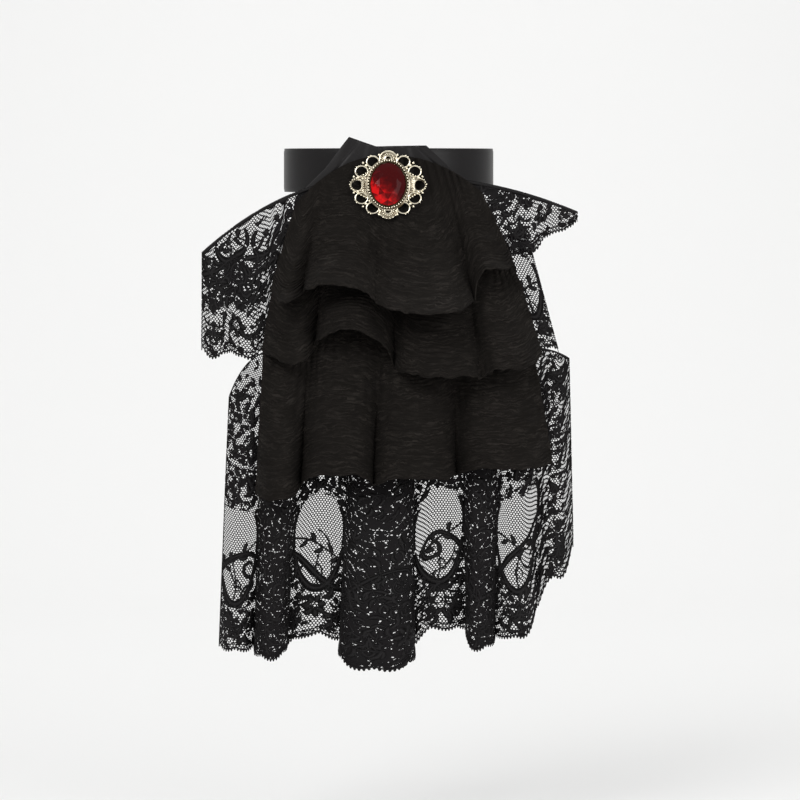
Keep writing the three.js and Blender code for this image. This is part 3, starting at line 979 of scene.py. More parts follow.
@dataclass(frozen=True)
class NetFinish:
    """Six-sided lace net, cut through between its threads, with close-worked patches in bands along the hem.

    Attributes:
        window: The plain windows in the ground.
        ground: How close the ground is worked.
        colour: Colour of the thread; its fibres are up to three times as light.
        cell: Width and height of a mesh, in millimetres.
        thread: Width of a thread, as a share of a mesh.
        patch: Width and height of a close-worked leaf, in millimetres.
        slit: Size of the noise that opens the slits between leaves, in millimetres.
        slit_from: Noise at which a slit begins to open.
        slit_width: How fast the slits open above that.
        closer: Extra share of the ground worked in the closer stretches, which darkens the flutes partly as
            painted shade.
        closer_slit: How much more noise a slit needs there.
        ragged: Edge of a window, as the square of its size, and the noise that frays it.
    """

    window: Window
    ground: Ground
    colour: Colour = (0.0028, 0.0024, 0.0026)
    cell: tuple[float, float] = (1.95, 1.55)
    thread: float = 0.37
    patch: tuple[float, float] = (6.5, 4.03)
    slit: float = 3.2
    slit_from: float = 0.4
    slit_width: float = 0.315
    closer: float = 0.2
    closer_slit: float = 0.06
    ragged: tuple[float, float] = (1.25, 0.5)

    def strand(self, graph: Graph, flat: Wire) -> Wire:
        """Find the net's threads, between the six-sided cells of two interleaved lattices.

        Args:
            graph: The finish's graph.
            flat: Flat place.

        Returns:
            1 on a thread.
        """
        place = graph.vector("DIVIDE", flat, (*self.cell, 1.0))
        half = (0.5, math.sqrt(3) / 2, 0.0)

        def reach(shift: Colour) -> Wire:
            """Measure from the nearest cell's middle of one lattice.

            Args:
                shift: Shift of the lattice.

            Returns:
                The six-sided distance, 0.5 at a mesh's edge.
            """
            pitch = (1.0, math.sqrt(3), 1.0)
            steps = graph.vector("DIVIDE", graph.vector("ADD", place, shift), pitch)
            folded = graph.vector("MULTIPLY", graph.vector("FRACTION", steps), pitch)
            size = graph.vector("ABSOLUTE", graph.vector("SUBTRACT", folded, half))
            slanted = graph.vector("DOT_PRODUCT", size, half, "Value")
            return graph.math("MAXIMUM", slanted, graph.axis(size, "X"))

        return graph.math("MINIMUM", reach((0.0, 0.0, 0.0)), reach(half)) > 0.5 - self.thread / 2

    def worked(self, graph: Graph, flat: Wire, u: Wire, v: Wire) -> Wire:
        """Find where the ground is worked close.

        Args:
            graph: The finish's graph.
            flat: Flat place.
            u: Its place along the hem.
            v: Its height above the hem.

        Returns:
            1 where the ground is worked close.
        """
        highest = self.ground.bands[-1][0]
        share = graph.ramp(v / highest, *((height / highest, part) for height, part in self.ground.bands))
        # Closer stretches: denser lace in the flutes, for their doubled layers and partly as painted shade.
        tight = sum((u > start) * (u < end) for start, end in self.ground.close)
        sway = graph.noise(flat, (6.5, 5.0), 1.0)
        opening = graph.noise(flat, self.slit, 1.0) - self.slit_from - tight * self.closer_slit
        cells = {"Vector": graph.vector("DIVIDE", flat, (*self.patch, 1.0)), "Scale": 1.0}
        kind = {"voronoi_dimensions": "2D", "feature": "DISTANCE_TO_EDGE"}
        edge = graph.add("ShaderNodeTexVoronoi", kind, cells, "Distance")
        worked = (sway < share + tight * self.closer) * (edge > opening * self.slit_width)
        window = self.window
        up = (v - window.height / MM) / (window.half_height / MM)
        limit, fray = self.ragged
        frayed = up * up + graph.noise(flat, 5.0, 2.0, 0.6) * fray
        for middle in window.middles:
            across = (u - middle / MM) * (window.pinch - up * window.taper) / (window.half_width / MM)
            worked = worked * (across * across + frayed > limit)
        return worked

    def material(self) -> Material:
        """Build the finish, which ends at the cord of the scalloped edge.

        Returns:
            The material.
        """
        graph = Graph("lace_net")
        flat = graph.flat()
        u, v = graph.axis(flat, "X"), graph.axis(flat, "Y")
        worked = self.worked(graph, flat, u, v)
        arch = graph.math("ABSOLUTE", graph.math("SINE", u * (math.pi * MM / HEM.scallop)))
        above_hem = v > HEM.height / MM - arch * (HEM.depth / MM)
        lighter = tuple(3 * channel for channel in self.colour)
        colour = graph.tint(graph.noise(flat, 0.5, 1.0), self.colour, lighter)
        graph.set(Base_Color=colour, Roughness=0.8 - worked * 0.15, Specular_IOR_Level=0.12)
        return graph.set(Alpha=graph.math("MAXIMUM", self.strand(graph, flat), worked) * above_hem).material


def turned(foot: Array, angle: float, ahead: Array, aside: Array) -> Array:
    """Place points by a foot that faces an angle.

    Args:
        foot: The foot.
        angle: The angle.
        ahead: Distances ahead of it.
        aside: Distances to its left.

    Returns:
        The points.
    """
    x = math.cos(angle) * ahead - math.sin(angle) * aside
    return foot + np.stack([x, math.sin(angle) * ahead + math.cos(angle) * aside], axis=-1)


def course(line: Array, step: int) -> float:
    """Return the angle of a line's step."""
    ahead = line[step] - line[step - 1]
    return math.atan2(ahead[1], ahead[0])


def curve(steps: int, *corners: Sequence[float]) -> Array:
    """Draw a cubic curve.

    Args:
        steps: Steps along the curve.
        corners: Its start, the corner that it leaves for, the one that it arrives from, and its end.

    Returns:
        The curve's points.
    """
    t = np.linspace(0, 1, steps + 1)[:, None]
    first, second, third, last = (np.array(corner, dtype=float) for corner in corners)
    return (1 - t) ** 3 * first + 3 * (1 - t) ** 2 * t * second + 3 * (1 - t) * t**2 * third + t**3 * last


def spiral(middle: Array, radii: tuple[float, float], start: float, turns: float, steps: int) -> Array:
    """Draw a spiral.

    Args:
        middle: Middle of the spiral.
        radii: First and last radius.
        start: First angle.
        turns: Turns, negative for clockwise.
        steps: Steps along it.

    Returns:
        The spiral's points.
    """
    t = np.linspace(0, 1, steps + 1)
    radius = mix(*radii, t)
    return np.array(middle) + oval(radius, radius, start + TURN * turns * t)


@dataclass(frozen=True)
class Leaf:
    """A leaf or petal.

    Attributes:
        length: Its length.
        width: Its widest width.
        bend: Sideways bow of its spine, as a share of its length.
    """

    length: float
    width: float
    bend: float = 0.0

    def grown(self, size: float, side: float = 1.0) -> "Leaf":
        """Return the leaf at another size, and bent to a side."""
        return Leaf(self.length * size, self.width * size, self.bend * side)


@dataclass
class FlatWork:
    """Raised lace work, drawn in the flat and then laid on a tier.

    Attributes:
        tier: The lace that the work is on.
        window: The plain windows, which the leaves leave free.
        margin: Least distance from the cloth's ends and heading.
        leaf_relief: Height of a leaf's or ring's middle above and below the net.
        cord_relief: Height of a cord's middle.
        ribbon_relief: Height of a ribbon's middle.
        ribbon_cord: Width of the cords along a ribbon, and the height of their middle.
        loop_cord: Width of an open petal's cord.
        point: Least width of a leaf.
    """

    tier: Tier
    window: Window
    margin: float = 0.6 * MM
    leaf_relief: float = 0.3 * MM
    cord_relief: float = 0.35 * MM
    ribbon_relief: float = 0.16 * MM
    ribbon_cord: tuple[float, float] = (0.75 * MM, 0.42 * MM)
    loop_cord: float = 0.9 * MM
    point: float = 0.15 * MM
    points: list[Array] = field(default_factory=list)
    faces: list[Array] = field(default_factory=list)
    count: int = 0

    def inside(self, line: Array) -> Array:
        """Find what lies on the cloth.

        Args:
            line: Points with u and v.

        Returns:
            Whether each point does.
        """
        u, v = line[:, 0], line[:, 1]
        on_length = (u > self.margin) & (u < self.tier.length - self.margin)
        return on_length & (v > -self.margin) & (v < self.tier.height(u) - self.margin)

    def braid(self, line: Array, width: Array | float, relief: float | None = None) -> None:
        """Draw a raised braid along a line; what leaves the cloth is cut off.

        Args:
            line: Points with u and v.
            width: Width of the braid, the same or at each point.
            relief: Height of its middle, if not that of a cord.
        """
        widths = np.broadcast_to(width, len(line))
        cuts = np.flatnonzero(np.diff(self.inside(line).astype(int), prepend=0, append=0))
        for start, end in zip(cuts[::2], cuts[1::2]):
            if end - start >= 2:
                self.strand(line[start:end], widths[start:end], relief or self.cord_relief)

    def strand(self, line: Array, width: Array | float, relief: float) -> None:
        """Add one closed strand with four sides.

        Args:
            line: Points with u and v.
            width: Its width, the same or at each point.
            relief: Height of its middle above and below the net.
        """
        side = left_edge(line, np.broadcast_to(width, len(line)))
        lift = np.full(len(line), relief)
        corners = ((line + side, 0 * lift), (line, lift), (line - side, 0 * lift), (line, -lift))
        self.points.append(np.stack([np.column_stack(corner) for corner in corners], axis=1).reshape(-1, 3))
        last = 4 * (len(line) - 1)
        start = np.arange(last).reshape(-1, 4)
        after = np.roll(start, -1, axis=1)
        quads = np.stack([start, after, after + 4, start + 4], axis=-1).reshape(-1, 4)
        ends = np.array([[3, 2, 1, 0], [last, last + 1, last + 2, last + 3]])
        self.faces.append(np.concatenate([quads, ends]) + self.count)
        self.count += 4 * len(line)

    def leaf(self, foot: Array, angle: float, leaf: Leaf, in_window: bool = False) -> None:
        """Draw a leaf or petal.

        Args:
            foot: Where it grows from.
            angle: Direction that it points in.
            leaf: Its sizes.
            in_window: Whether it may lie in a window.
        """
        along = np.linspace(0, 1, 5)
        bow = leaf.bend * leaf.length / 2 * np.sin(math.pi * along)
        spine = turned(foot, angle, along * leaf.length, bow)
        if self.inside(spine).all() and (in_window or not self.window.holds(*spine[-1])):
            shape = np.sin(math.pi * np.clip(along * 0.9 + 0.06, 0, 1)) ** 0.7
            self.strand(spine, np.maximum(leaf.width * shape, self.point), self.leaf_relief)

    def spray(self, stem: Array, gap: int, spread: float, leaf: Leaf, shrink: float = 0.0) -> None:
        """Draw pairs of leaves along a stem.

        Args:
            stem: Points of the stem.
            gap: Steps between pairs.
            spread: Angle between a leaf and the stem.
            leaf: Sizes of the first leaf.
            shrink: How much smaller the leaves are at the stem's end.
        """
        for step in range(gap, len(stem) - 1, gap):
            size = 1 - shrink * step / len(stem)
            for side in (-1, 1):
                self.leaf(stem[step], course(stem, step) + side * spread, leaf.grown(size, side))

    def flower(self, middle: Array, radius: float, petals: int, turn: float = 0.0) -> None:
        """Draw a flower with a ring at its heart.

        Args:
            middle: Its middle.
            radius: Its radius.
            petals: Number of its petals.
            turn: Angle of the first petal.
        """
        petal = Leaf(radius * 0.72, radius * 0.62, 0.1)
        for angle in turn + circuit(petals):
            self.leaf(middle + oval(radius * 0.3, radius * 0.3, angle), angle, petal)
        self.ring(middle, radius * 0.2, 0.6 * MM)

    def ring(self, middle: Array, radius: float, width: float) -> None:
        """Draw a ring.

        Args:
            middle: Its middle.
            radius: Its radius.
            width: Width of its cord.
        """
        line = middle + oval(radius, radius, np.linspace(0, TURN, 11 if radius < 3 * MM else 31))
        if self.inside(line).all():
            self.strand(line, width, self.leaf_relief)

    def loop(self, foot: Array, angle: float, petal: Leaf) -> None:
        """Draw an open petal, as a cord that leaves its foot and comes back to it.

        Args:
            foot: Where it grows from.
            angle: Direction that it points in.
            petal: Its sizes.
        """
        turn = np.linspace(0, TURN, 15)
        line = turned(foot, angle, (1 - np.cos(turn)) * petal.length / 2, np.sin(turn) * petal.width / 2)
        if self.inside(line).all():
            self.strand(line, self.loop_cord, self.cord_relief)

    def ribbon(self, line: Array, widths: Array) -> None:
        """Draw a filled ribbon between two cords.

        Args:
            line: Points of its middle line.
            widths: Its width at each point.
        """
        self.braid(line, widths * 0.86, self.ribbon_relief)
        side = left_edge(line, widths)
        for edge in (line - side, line + side):
            self.braid(edge, *self.ribbon_cord)

    def finish(self, name: str, material: Material) -> Object:
        """Lay the work on its tier.

        Args:
            name: Name of the piece.
            material: Finish of the thread.

        Returns:
            The piece.
        """
        flat = np.concatenate(self.points)
        piece = make_object(name, self.tier.lay(flat), np.concatenate(self.faces), flat[:, :2])
        return wrap(piece, Slot.LACE, material)


@dataclass
class LacePattern(FlatWork):
    """A traditional border of flowers, scrolls and leaf sprays, which repeats mirrored along the hem.

    Attributes:
        ground: How close the ground is worked.
        repeat: Length of one repeat.
        border: Height of the flower border's middle.
        sweep: Height of the lower scrolls' middle.
        upper: Height of the upper scrolls' middle.
        edge_cord: Width of the edge cord, and the height of its middle.
        inner: Height of the inner cord above the edge cord.
        thin: Width of the inner cord and the arches' cord.
        bar: Width of the bars between edge and inner cord.
        picot: Distance between picots.
        picot_leaf: A picot.
        filling: A leaf of the ground.
        filling_pitch: Distance between these leaves.
        foot_ribbon: Width of the ribbon under a window.
        side_ribbon: Width of the ribbons beside it.
        tendril: Width of the tendril across it.
        tendril_leaf: A leaf of the tendril.
        drop_petal: The open petal on the drop beside the tendril.
        open_petal: A petal of the open flower.
        wreath: Radius and width of the ring round the open flower.
        bloom: Radius of the full flower.
        stem: Width of the border's stems.
        border_leaf: A leaf of these stems.
        arch: Radius of the arches over the flowers.
        arch_leaf: A leaf on the arches.
        band: First and last width of a scroll's band.
        curl: First and last width of its curl.
        bud: Radius of the flower in the curl.
        branch: Width of its branches, and of the drop in a window.
        scroll_leaf: A leaf of its sprays.
    """

    ground: Ground = Ground()
    repeat: float = 66 * MM
    border: float = 20 * MM
    sweep: float = 50 * MM
    upper: float = 122 * MM
    edge_cord: tuple[float, float] = (1.0 * MM, 0.45 * MM)
    inner: float = 3.0 * MM
    thin: float = 0.7 * MM
    bar: float = 0.35 * MM
    picot: float = 1.95 * MM
    picot_leaf: Leaf = Leaf(1.9 * MM, 1.35 * MM)
    filling: Leaf = Leaf(7.4 * MM, 3.1 * MM, 0.5)
    filling_pitch: float = 7.0 * MM
    foot_ribbon: float = 4.2 * MM
    side_ribbon: float = 2.4 * MM
    tendril: float = 1.3 * MM
    tendril_leaf: Leaf = Leaf(6.5 * MM, 3.4 * MM, 0.4)
    drop_petal: Leaf = Leaf(7.0 * MM, 4.2 * MM)
    open_petal: Leaf = Leaf(8.0 * MM, 4.6 * MM)
    wreath: tuple[float, float] = (9.6 * MM, 1.3 * MM)
    bloom: float = 7.0 * MM
    stem: float = 0.8 * MM
    border_leaf: Leaf = Leaf(5.2 * MM, 2.3 * MM, 0.3)
    arch: float = 12.5 * MM
    arch_leaf: Leaf = Leaf(3.6 * MM, 1.8 * MM)
    band: tuple[float, float] = (4.6 * MM, 2.2 * MM)
    curl: tuple[float, float] = (2.6 * MM, 1.2 * MM)
    bud: float = 3.6 * MM
    branch: float = 1.0 * MM
    scroll_leaf: Leaf = Leaf(8.0 * MM, 3.0 * MM, 0.35)

    def draw(self) -> None:
        """Draw the whole pattern."""
        self.draw_edge()
        self.draw_leaves()
        for number, middle in enumerate(self.window.middles):
            self.draw_window(middle, number % 2 == 1)
        for number in range(int(self.tier.length / self.repeat) + 2):
            start = (number - 0.35) * self.repeat
            mirrored = number % 2 == 1
            self.draw_border(start)
            self.draw_scrolls(start, mirrored, self.sweep, 1.0)
            self.draw_scrolls(start + 0.5 * self.repeat, not mirrored, self.upper, 0.92)

    def draw_edge(self) -> None:
        """Draw the scalloped edge cord, its picots and the line above it."""
        u = np.arange(0, self.tier.length, 0.7 * MM)
        edge = HEM.at(u)
        self.braid(np.stack([u, edge], axis=1), *self.edge_cord)
        self.braid(np.stack([u, edge + self.inner], axis=1), self.thin)
        for foot in np.arange(self.picot, self.tier.length - self.picot, self.picot):
            base = HEM.at(foot)
            self.leaf(np.array([foot, base + 0.2 * MM]), -math.pi / 2, self.picot_leaf)
            self.braid(np.array([[foot, base], [foot + 0.6 * self.picot, base + self.inner]]), self.bar)

    def draw_leaves(self) -> None:
        """Draw the small leaves that fill the ground, turned by a slowly changing flow."""
        chance = np.random.default_rng(31)
        flow = Ripple(32)
        pitch = self.filling_pitch
        for low, high, share in self.ground.leaves:
            for v in np.arange(low, high, 0.8 * pitch):
                for u in np.arange(0, self.tier.length, pitch):
                    spot = chance.uniform(-0.4, 0.4, 2)
                    draw = chance.uniform()
                    size = chance.uniform(0.75, 1.2)
                    if draw < share and not self.window.holds(u, v):
                        half_turns = 2.4 * float(flow(u / (17 * MM), v / (13 * MM))) + (draw > share / 2)
                        foot = np.array([u, v]) + spot * pitch
                        self.leaf(foot, math.pi * half_turns, self.filling.grown(size))

    def draw_window(self, middle: float, mirrored: bool) -> None:
        """Draw the cords round one plain window, and the tendril and the drop that cross it.

        Args:
            middle: Place of the window's middle along the hem.
            mirrored: Whether they lean the other way.
        """
        window = self.window
        foot = window.outline(middle, -0.98 * math.pi, -0.02 * math.pi, 30)
        self.ribbon(foot, self.foot_ribbon * np.sin(np.linspace(0.4, math.pi - 0.4, 30)))
        for start, end in ((0.0, 0.9), (math.pi, math.pi - 0.9)):
            self.ribbon(window.outline(middle, start, end, 12), np.full(12, self.side_ribbon))
        centre = np.array([middle, window.height])
        lean = np.array([-window.half_width if mirrored else window.half_width, window.half_height])
        tendril = centre + lean * curve(18, (-0.95, -0.3), (-0.3, -0.35), (0.1, 0.05), (0.95, 0.25))
        drop = centre + lean * curve(12, (-0.1, -0.15), (0.05, -0.5), (0.1, -0.7), (-0.05, -0.98))
        self.braid(tendril, self.tendril)
        self.braid(drop, self.branch)
        for step, turn in ((3, 0.8), (5, -0.7), (8, 0.9), (11, -0.6), (13, 0.8)):
            self.leaf(tendril[step], course(tendril, step) + turn, self.tendril_leaf.grown(1, turn), True)
        self.loop(drop[5], -1.2, self.drop_petal)

    def draw_border(self, start: float) -> None:
        """Draw the two flowers of one repeat, with the sprays and arches between them.

        Args:
            start: Where the repeat starts along the hem.
        """
        for place in range(2):
            middle = np.array([start + self.repeat * (place + 0.5) / 2, self.border])
            if place == 0:
                for angle in circuit(6):
                    self.loop(middle, angle, self.open_petal)
                self.ring(middle, *self.wreath)
            else:
                self.flower(middle, self.bloom, 7, 0.3)
            for side in (-1, 1):
                bow = curve(12, (8, -4), (14, -10), (20, -4), (20, 6))
                stem = middle + bow * [side, 1] * MM
                self.braid(stem, self.stem)
                self.spray(stem, 2, 0.9, self.border_leaf)
            top = middle + [0, 1 * MM]
            self.braid(spiral(top, (self.arch, self.arch), 0.15 * math.pi, 0.35, 16), self.thin)
            for angle in np.linspace(0.2, 0.8, 7) * math.pi:
                self.leaf(top + oval(self.arch, self.arch, angle), angle, self.arch_leaf)

    def draw_scrolls(self, start: float, mirrored: bool, height: float, size: float) -> None:
        """Draw one repeat of sweeping scrolls with leaf sprays.

        Args:
            start: Where the repeat starts along the hem.
            mirrored: Whether the repeat is turned left for right.
            height: Height of the scrolls' middle.
            size: Scale of the scrolls.
        """

        def lay(line: Array) -> Array:
            """Place a line along the cloth.

            Args:
                line: Points, as shares of the repeat.

            Returns:
                Their flat places.
            """
            placed = np.array(line, dtype=float) * self.repeat * size
            if mirrored:
                placed[..., 0] = self.repeat * size - placed[..., 0]
            return placed + [start, height]

        band = lay(curve(30, (0.0, -0.24), (0.3, -0.34), (0.42, 0.3), (0.74, 0.16)))
        curl = lay(spiral((0.72, 0.04), (0.125, 0.03), math.pi / 2, -1.25, 26))
        for line, widths in ((band, self.band), (curl, self.curl)):
            self.ribbon(line, mix(*widths, np.linspace(0, 1, len(line))) * size)
        self.flower(lay((0.72, 0.04)), self.bud, 5)
        branch = lay(curve(22, (0.12, -0.26), (0.1, 0.0), (0.06, 0.16), (0.24, 0.26)))
        twig = lay(curve(22, (0.5, 0.08), (0.52, -0.1), (0.66, -0.24), (0.94, -0.22)))
        for stem in (branch, twig):
            self.braid(stem, self.branch)
        leaf = Leaf(self.scroll_leaf.length * size, self.scroll_leaf.width, self.scroll_leaf.bend)
        for stem, spread in ((branch, 0.95), (twig, 0.9), (band, 1.15)):
            self.spray(stem, 3, spread, leaf, 0.5)


@dataclass
class CrepeTier:
    """A tier of crinkled crepe.

    Attributes:
        name: Name of the piece.
        node: The solid that it stands for.
        tier: Its form.
        rests_on: What it lies on, which is not used.
        smooth: Length under the heading that is pulled smooth.
        columns: Steps along the cloth.
        rows: Steps down the cloth.
        crinkle: Height of the crinkles.
        pitch: Distance between crinkles.
        wall: Thickness of the cloth.
    """

    name: str
    node: str
    tier: Tier
    rests_on: Sequence[str]
    smooth: float = 0.0
    columns: int = 230
    rows: int = 150
    crinkle: float = 0.9 * MM
    pitch: float = 2.4 * MM
    wall: float = 0.8 * MM

    def relief(self, u: Array, v: Array) -> Array:
        """Raise the crinkles.

        Args:
            u: Places along the hem.
            v: Heights above it.

        Returns:
            The crinkles' height.
        """
        noise = self.tier.noise
        warp = 2.6 * MM * noise(u / (19 * MM), v / (11 * MM)) + 0.8 * MM * noise(u / (6 * MM), v / (4 * MM))
        ridge = (0.5 + 0.5 * np.cos(TURN * (v + warp) / self.pitch)) ** 1.6
        patch = ease(0.5 + 0.9 * noise(31 + u / (12 * MM), v / (5 * MM)))
        pucker = 0.7 * noise(57 + u / (4.2 * MM), v / (2.1 * MM))
        return self.crinkle * (ridge * patch + 0.35 * pucker)

    def build(self, finish: Material) -> Object:
        """Build the tier.

        Args:
            finish: The crepe's finish.

        Returns:
            The piece.
        """
        tier = self.tier
        share, down = shares(self.columns, self.rows)
        flat = tier.flat_grid(share, down)
        u, v = flat[..., 0], flat[..., 1]
        grid = tier.surface(share, down)
        loose = ease((tier.height(u) - v - self.smooth) / (12 * MM))
        grid = grid + grid_normals(grid) * (self.relief(u, v) * loose)[..., None]
        ragged = tier.noise(u / (3 * MM), 9) + tier.noise(u / (13 * MM), 3)
        grid[..., 2] += 0.8 * MM * ragged * ease((down - 0.8) * 5)
        piece = wrap(make_wall(self.name, grid, self.wall, flat), Slot.CREPE, finish, self.node)
        width, length, area = tier.flat_size()
        return piece


@dataclass
class LaceTier:
    """A tier of lace: its net, and the raised work on it.

    Attributes:
        name: Name of the piece.
        node: The solid that it stands for.
        tier: Its form.
        window: The plain windows in its pattern.
        columns: Steps along the net.
        rows: Steps down the net.
        ground: How close its ground is worked.
        heading: Width of the braid on its heading.
        side: Width of the braids on its sides.
        inset: Distance of those from the cloth's ends.
        rests_on: What it lies on, which is not used.
    """

    name: str
    node: str
    tier: Tier
    window: Window
    columns: int
    rows: int
    ground: Ground = Ground()
    heading: float = 0.9 * MM
    side: float = 0.5 * MM
    inset: float = 0.75 * MM
    rests_on: Sequence[str] = ("yoke",)

    def build(self, thread: Material) -> Object:
        """Build the tier.

        Args:
            thread: Finish of the raised work.

        Returns:
            The net.
        """
        tier = self.tier
        share, down = shares(self.columns, self.rows)
        points = tier.surface(share, down).reshape(-1, 3)
        flat = tier.flat_grid(share, down).reshape(-1, 2)
        net = make_object(self.name, points, grid_faces(self.rows, self.columns), flat)
        wrap(net, Slot.LACE, NetFinish(self.window, self.ground).material(), self.node)
        work = LacePattern(tier, self.window, ground=self.ground)
        work.draw()
        self.bind(work)
        raised = work.finish(self.name + "_work", thread)
        width, length, area = tier.flat_size()
        return net

    def bind(self, work: FlatWork) -> None:
        """Bind the heading and the cut sides with narrow braids.

        Args:
            work: The tier's raised work.
        """
        end = self.tier.length - self.inset
        u = np.arange(self.inset, end, 1.5 * MM)
        top = self.tier.height(u) - 0.25 * MM - self.heading / 2
        work.braid(np.stack([u, top], axis=1), self.heading, 0.4 * MM)
        for place in (self.inset, end):
            v = np.arange(0, float(self.tier.height(place)) - self.inset, 1.5 * MM)
            work.braid(np.stack([np.full(len(v), place), v], axis=1), self.side, 0.4 * MM)


def satin_front(z: Array) -> Array:
    """Return the stand-off of the yoke's front, with the gap to what lies on it."""
    return np.full(np.shape(z), SATIN_WALL / 2 + TIER_GAP)


@dataclass
class Cascade:
    """The six tiers of crepe and lace, each on the one under it, over a yoke of some half width."""

    yoke_half: float

    def __post_init__(self) -> None:
        """Set out the tiers from the innermost to the outermost."""
        side = Tier(
            wall=LACE_WALL, heading=-45 * MM, head=(-65 * MM, 88 * MM), half_width=108 * MM, drop=75 * MM,
            depth=5 * MM, swell=1.2, flare=1.0, gather=0.3 * MM, rumple=0.4 * MM, seed=11,
            under=(satin_front,),
            folds=(
                Fold(-0.66, 0.0, 0.82),
                Fold(0.7, 0.0, 0.9, 0.1, 0.88),
                Fold(1.0, 0.5, 1.0, 1.0, 0.97, 0.03),
            ),
        )
        flounce = Tier(
            wall=LACE_WALL, heading=-115 * MM, head=(-100 * MM, 114 * MM), half_width=116 * MM, drop=202 * MM,
            depth=26 * MM, swell=1.25, flare=0.9, gather=0.8 * MM, rumple=1.4 * MM, seed=12,
            under=(side.front,),
            folds=(
                Fold(-0.91, 0.2, 0.93),
                Fold(-0.72, 0.1, 0.94, 0.6, 0.95, 0.08),
                Fold(-0.54, 0.05, 0.93, 0.8, 0.97, 0.15),
                Fold(-0.24, 0.0, 0.92, 0.24, 0.9, 0.03),
                Fold(0.12, 0.0, 0.94, 1.0, 1.0, 0.27),
                Fold(0.42, 0.05, 0.88, 0.26, 0.88, 0.03),
                Fold(0.57, 0.3, 0.91, 0.85, 0.94, 0.18, -0.1),
                Fold(0.8, 0.15, 0.82, 0.7, 0.91, 0.08),
                Fold(1.0, 0.2, 0.62, 0.5, 0.73, 0.04),
            ),
            dip=(32 * MM, 8 * MM), dip_power=9,
        )
        wing = Tier(
            wall=LACE_WALL, heading=-8 * MM, head=(-118 * MM, 120 * MM), half_width=120 * MM, drop=118 * MM,
            depth=8 * MM, swell=1.2, flare=1.0, gather=0.5 * MM, rumple=0.8 * MM, seed=13,
            under=(flounce.front,),
            folds=(
                Fold(-0.98, 0.2, 0.93),
                Fold(-0.82, 0.2, 0.95, 1.0, 0.99, 0.04),
                Fold(-0.65, 0.0, 0.93, 0.7, 1.0, 0.04),
                Fold(-0.56, 0.0, 0.72, 0.1, 0.84),
                Fold(0.0, 0.0, 0.6, 0.1, 0.66),
                Fold(0.66, 0.0, 0.44, 0.1, 0.5),
                Fold(0.82, 0.1, 0.36, 0.5, 0.42, 0.03),
                Fold(1.0, 0.3, 0.24, 0.9, 0.31, 0.03),
            ),
            dip=(48 * MM, 22 * MM), dip_power=2.2,
        )
        lower = Tier(
            wall=CREPE_WALL, heading=-104 * MM, head=(-77 * MM, 87 * MM), half_width=102 * MM, drop=107 * MM,
            depth=27 * MM, swell=1.1, flare=0.8, gather=2.4 * MM, rumple=2.8 * MM, seed=14,
            under=(flounce.front, lambda z: wing.front(z, self.yoke_half)),
            folds=(
                Fold(-0.8, 0.15, 0.97),
                Fold(-0.53, 0.0, 0.93, 0.75, 1.0, 0.1),
                Fold(-0.09, 0.0, 0.93, 1.0, 0.85, 0.15, 0.03),
                Fold(0.41, 0.0, 0.86, 0.95, 0.88, 0.13),
                Fold(1.0, 0.15, 0.79, 0.9, 0.82, 0.08),
            ),
        )
        middle = Tier(
            wall=CREPE_WALL, heading=-58 * MM, head=(-68 * MM, 75 * MM), half_width=96 * MM, drop=80 * MM,
            depth=28 * MM, swell=1.2, flare=0.8, gather=2.4 * MM, rumple=2.8 * MM, seed=15,
            under=(lower.front,),
            folds=(
                Fold(-0.82, 0.1, 0.76),
                Fold(-0.47, 0.0, 0.74, 0.6, 0.86, 0.04, 0.1),
                Fold(0.04, 0.0, 0.88, 1.0, 0.6, 0.12, -0.08),
                Fold(0.6, 0.4, 0.98, 0.95, 0.97, 0.1),
                Fold(1.0, 0.1, 0.79, 0.9, 0.92, 0.06, -0.05),
            ),
        )
        upper = Tier(
            wall=CREPE_WALL, heading=4 * MM, head=(-58 * MM, 58 * MM), half_width=78 * MM, drop=101 * MM,
            depth=27 * MM, swell=1.8, flare=0.9, gather=4.0 * MM, rumple=3.2 * MM, seed=16,
            under=(middle.front,),
            folds=(
                Fold(-0.94, 0.05, 0.85),
                Fold(-0.68, 0.0, 0.87, 0.4, 0.94, 0.02),
                Fold(-0.1, 0.35, 0.93, 1.0, 0.82, 0.1, -0.06),
                Fold(0.69, 0.0, 0.92, 0.95, 1.0, 0.08, 0.05),
                Fold(1.0, 0.15, 0.66, 0.75, 0.72, 0.14),
            ),
            gather_pitch=11 * MM, dip=(30 * MM, 22 * MM), dip_power=2.2,
        )
        few = Window((168 * MM,), 42 * MM, 12 * MM, 20 * MM)
        large = Window((14 * MM, 93 * MM, 197 * MM, 273 * MM), 61 * MM, 20 * MM, 29 * MM)
        small = Window((20 * MM, 46 * MM), 74 * MM, 12 * MM, 12 * MM)
        # The closer stretches lie in the flutes: denser lace for their doubled layers and for painted shade.
        fluted = Ground(close=((32, 75), (112, 178), (216, 254)))
        airy = Ground(
            bands=(
                (0, 0.34), (7, 0.55), (11, 0.36), (28, 0.34), (36, 0.6), (62, 0.62), (68, 0.34), (100, 0.38),
            ),
            leaves=((8 * MM, 30 * MM, 0.3), (30 * MM, 66 * MM, 0.8), (66 * MM, 100 * MM, 0.35)),
        )
        self.upper = upper
        self.lace = (
            LaceTier("side_lace", "lace_tier_side", side, few, 150, 40),
            LaceTier("flounce_lace", "lace_flounce", flounce, large, 420, 110, fluted),
            LaceTier("wing_lace", "lace_wing_upper", wing, small, 260, 60, airy, 2.2 * MM),
        )
        self.crepe = (
            CrepeTier("lower_crepe", "crepe_tier_lower", lower, ["yoke", "flounce_lace"]),
            CrepeTier("middle_crepe", "crepe_tier_middle", middle, ["yoke", "lower_crepe"]),
            CrepeTier("upper_crepe", "crepe_tier_upper", upper, ["yoke", "middle_crepe"], smooth=14 * MM),
        )

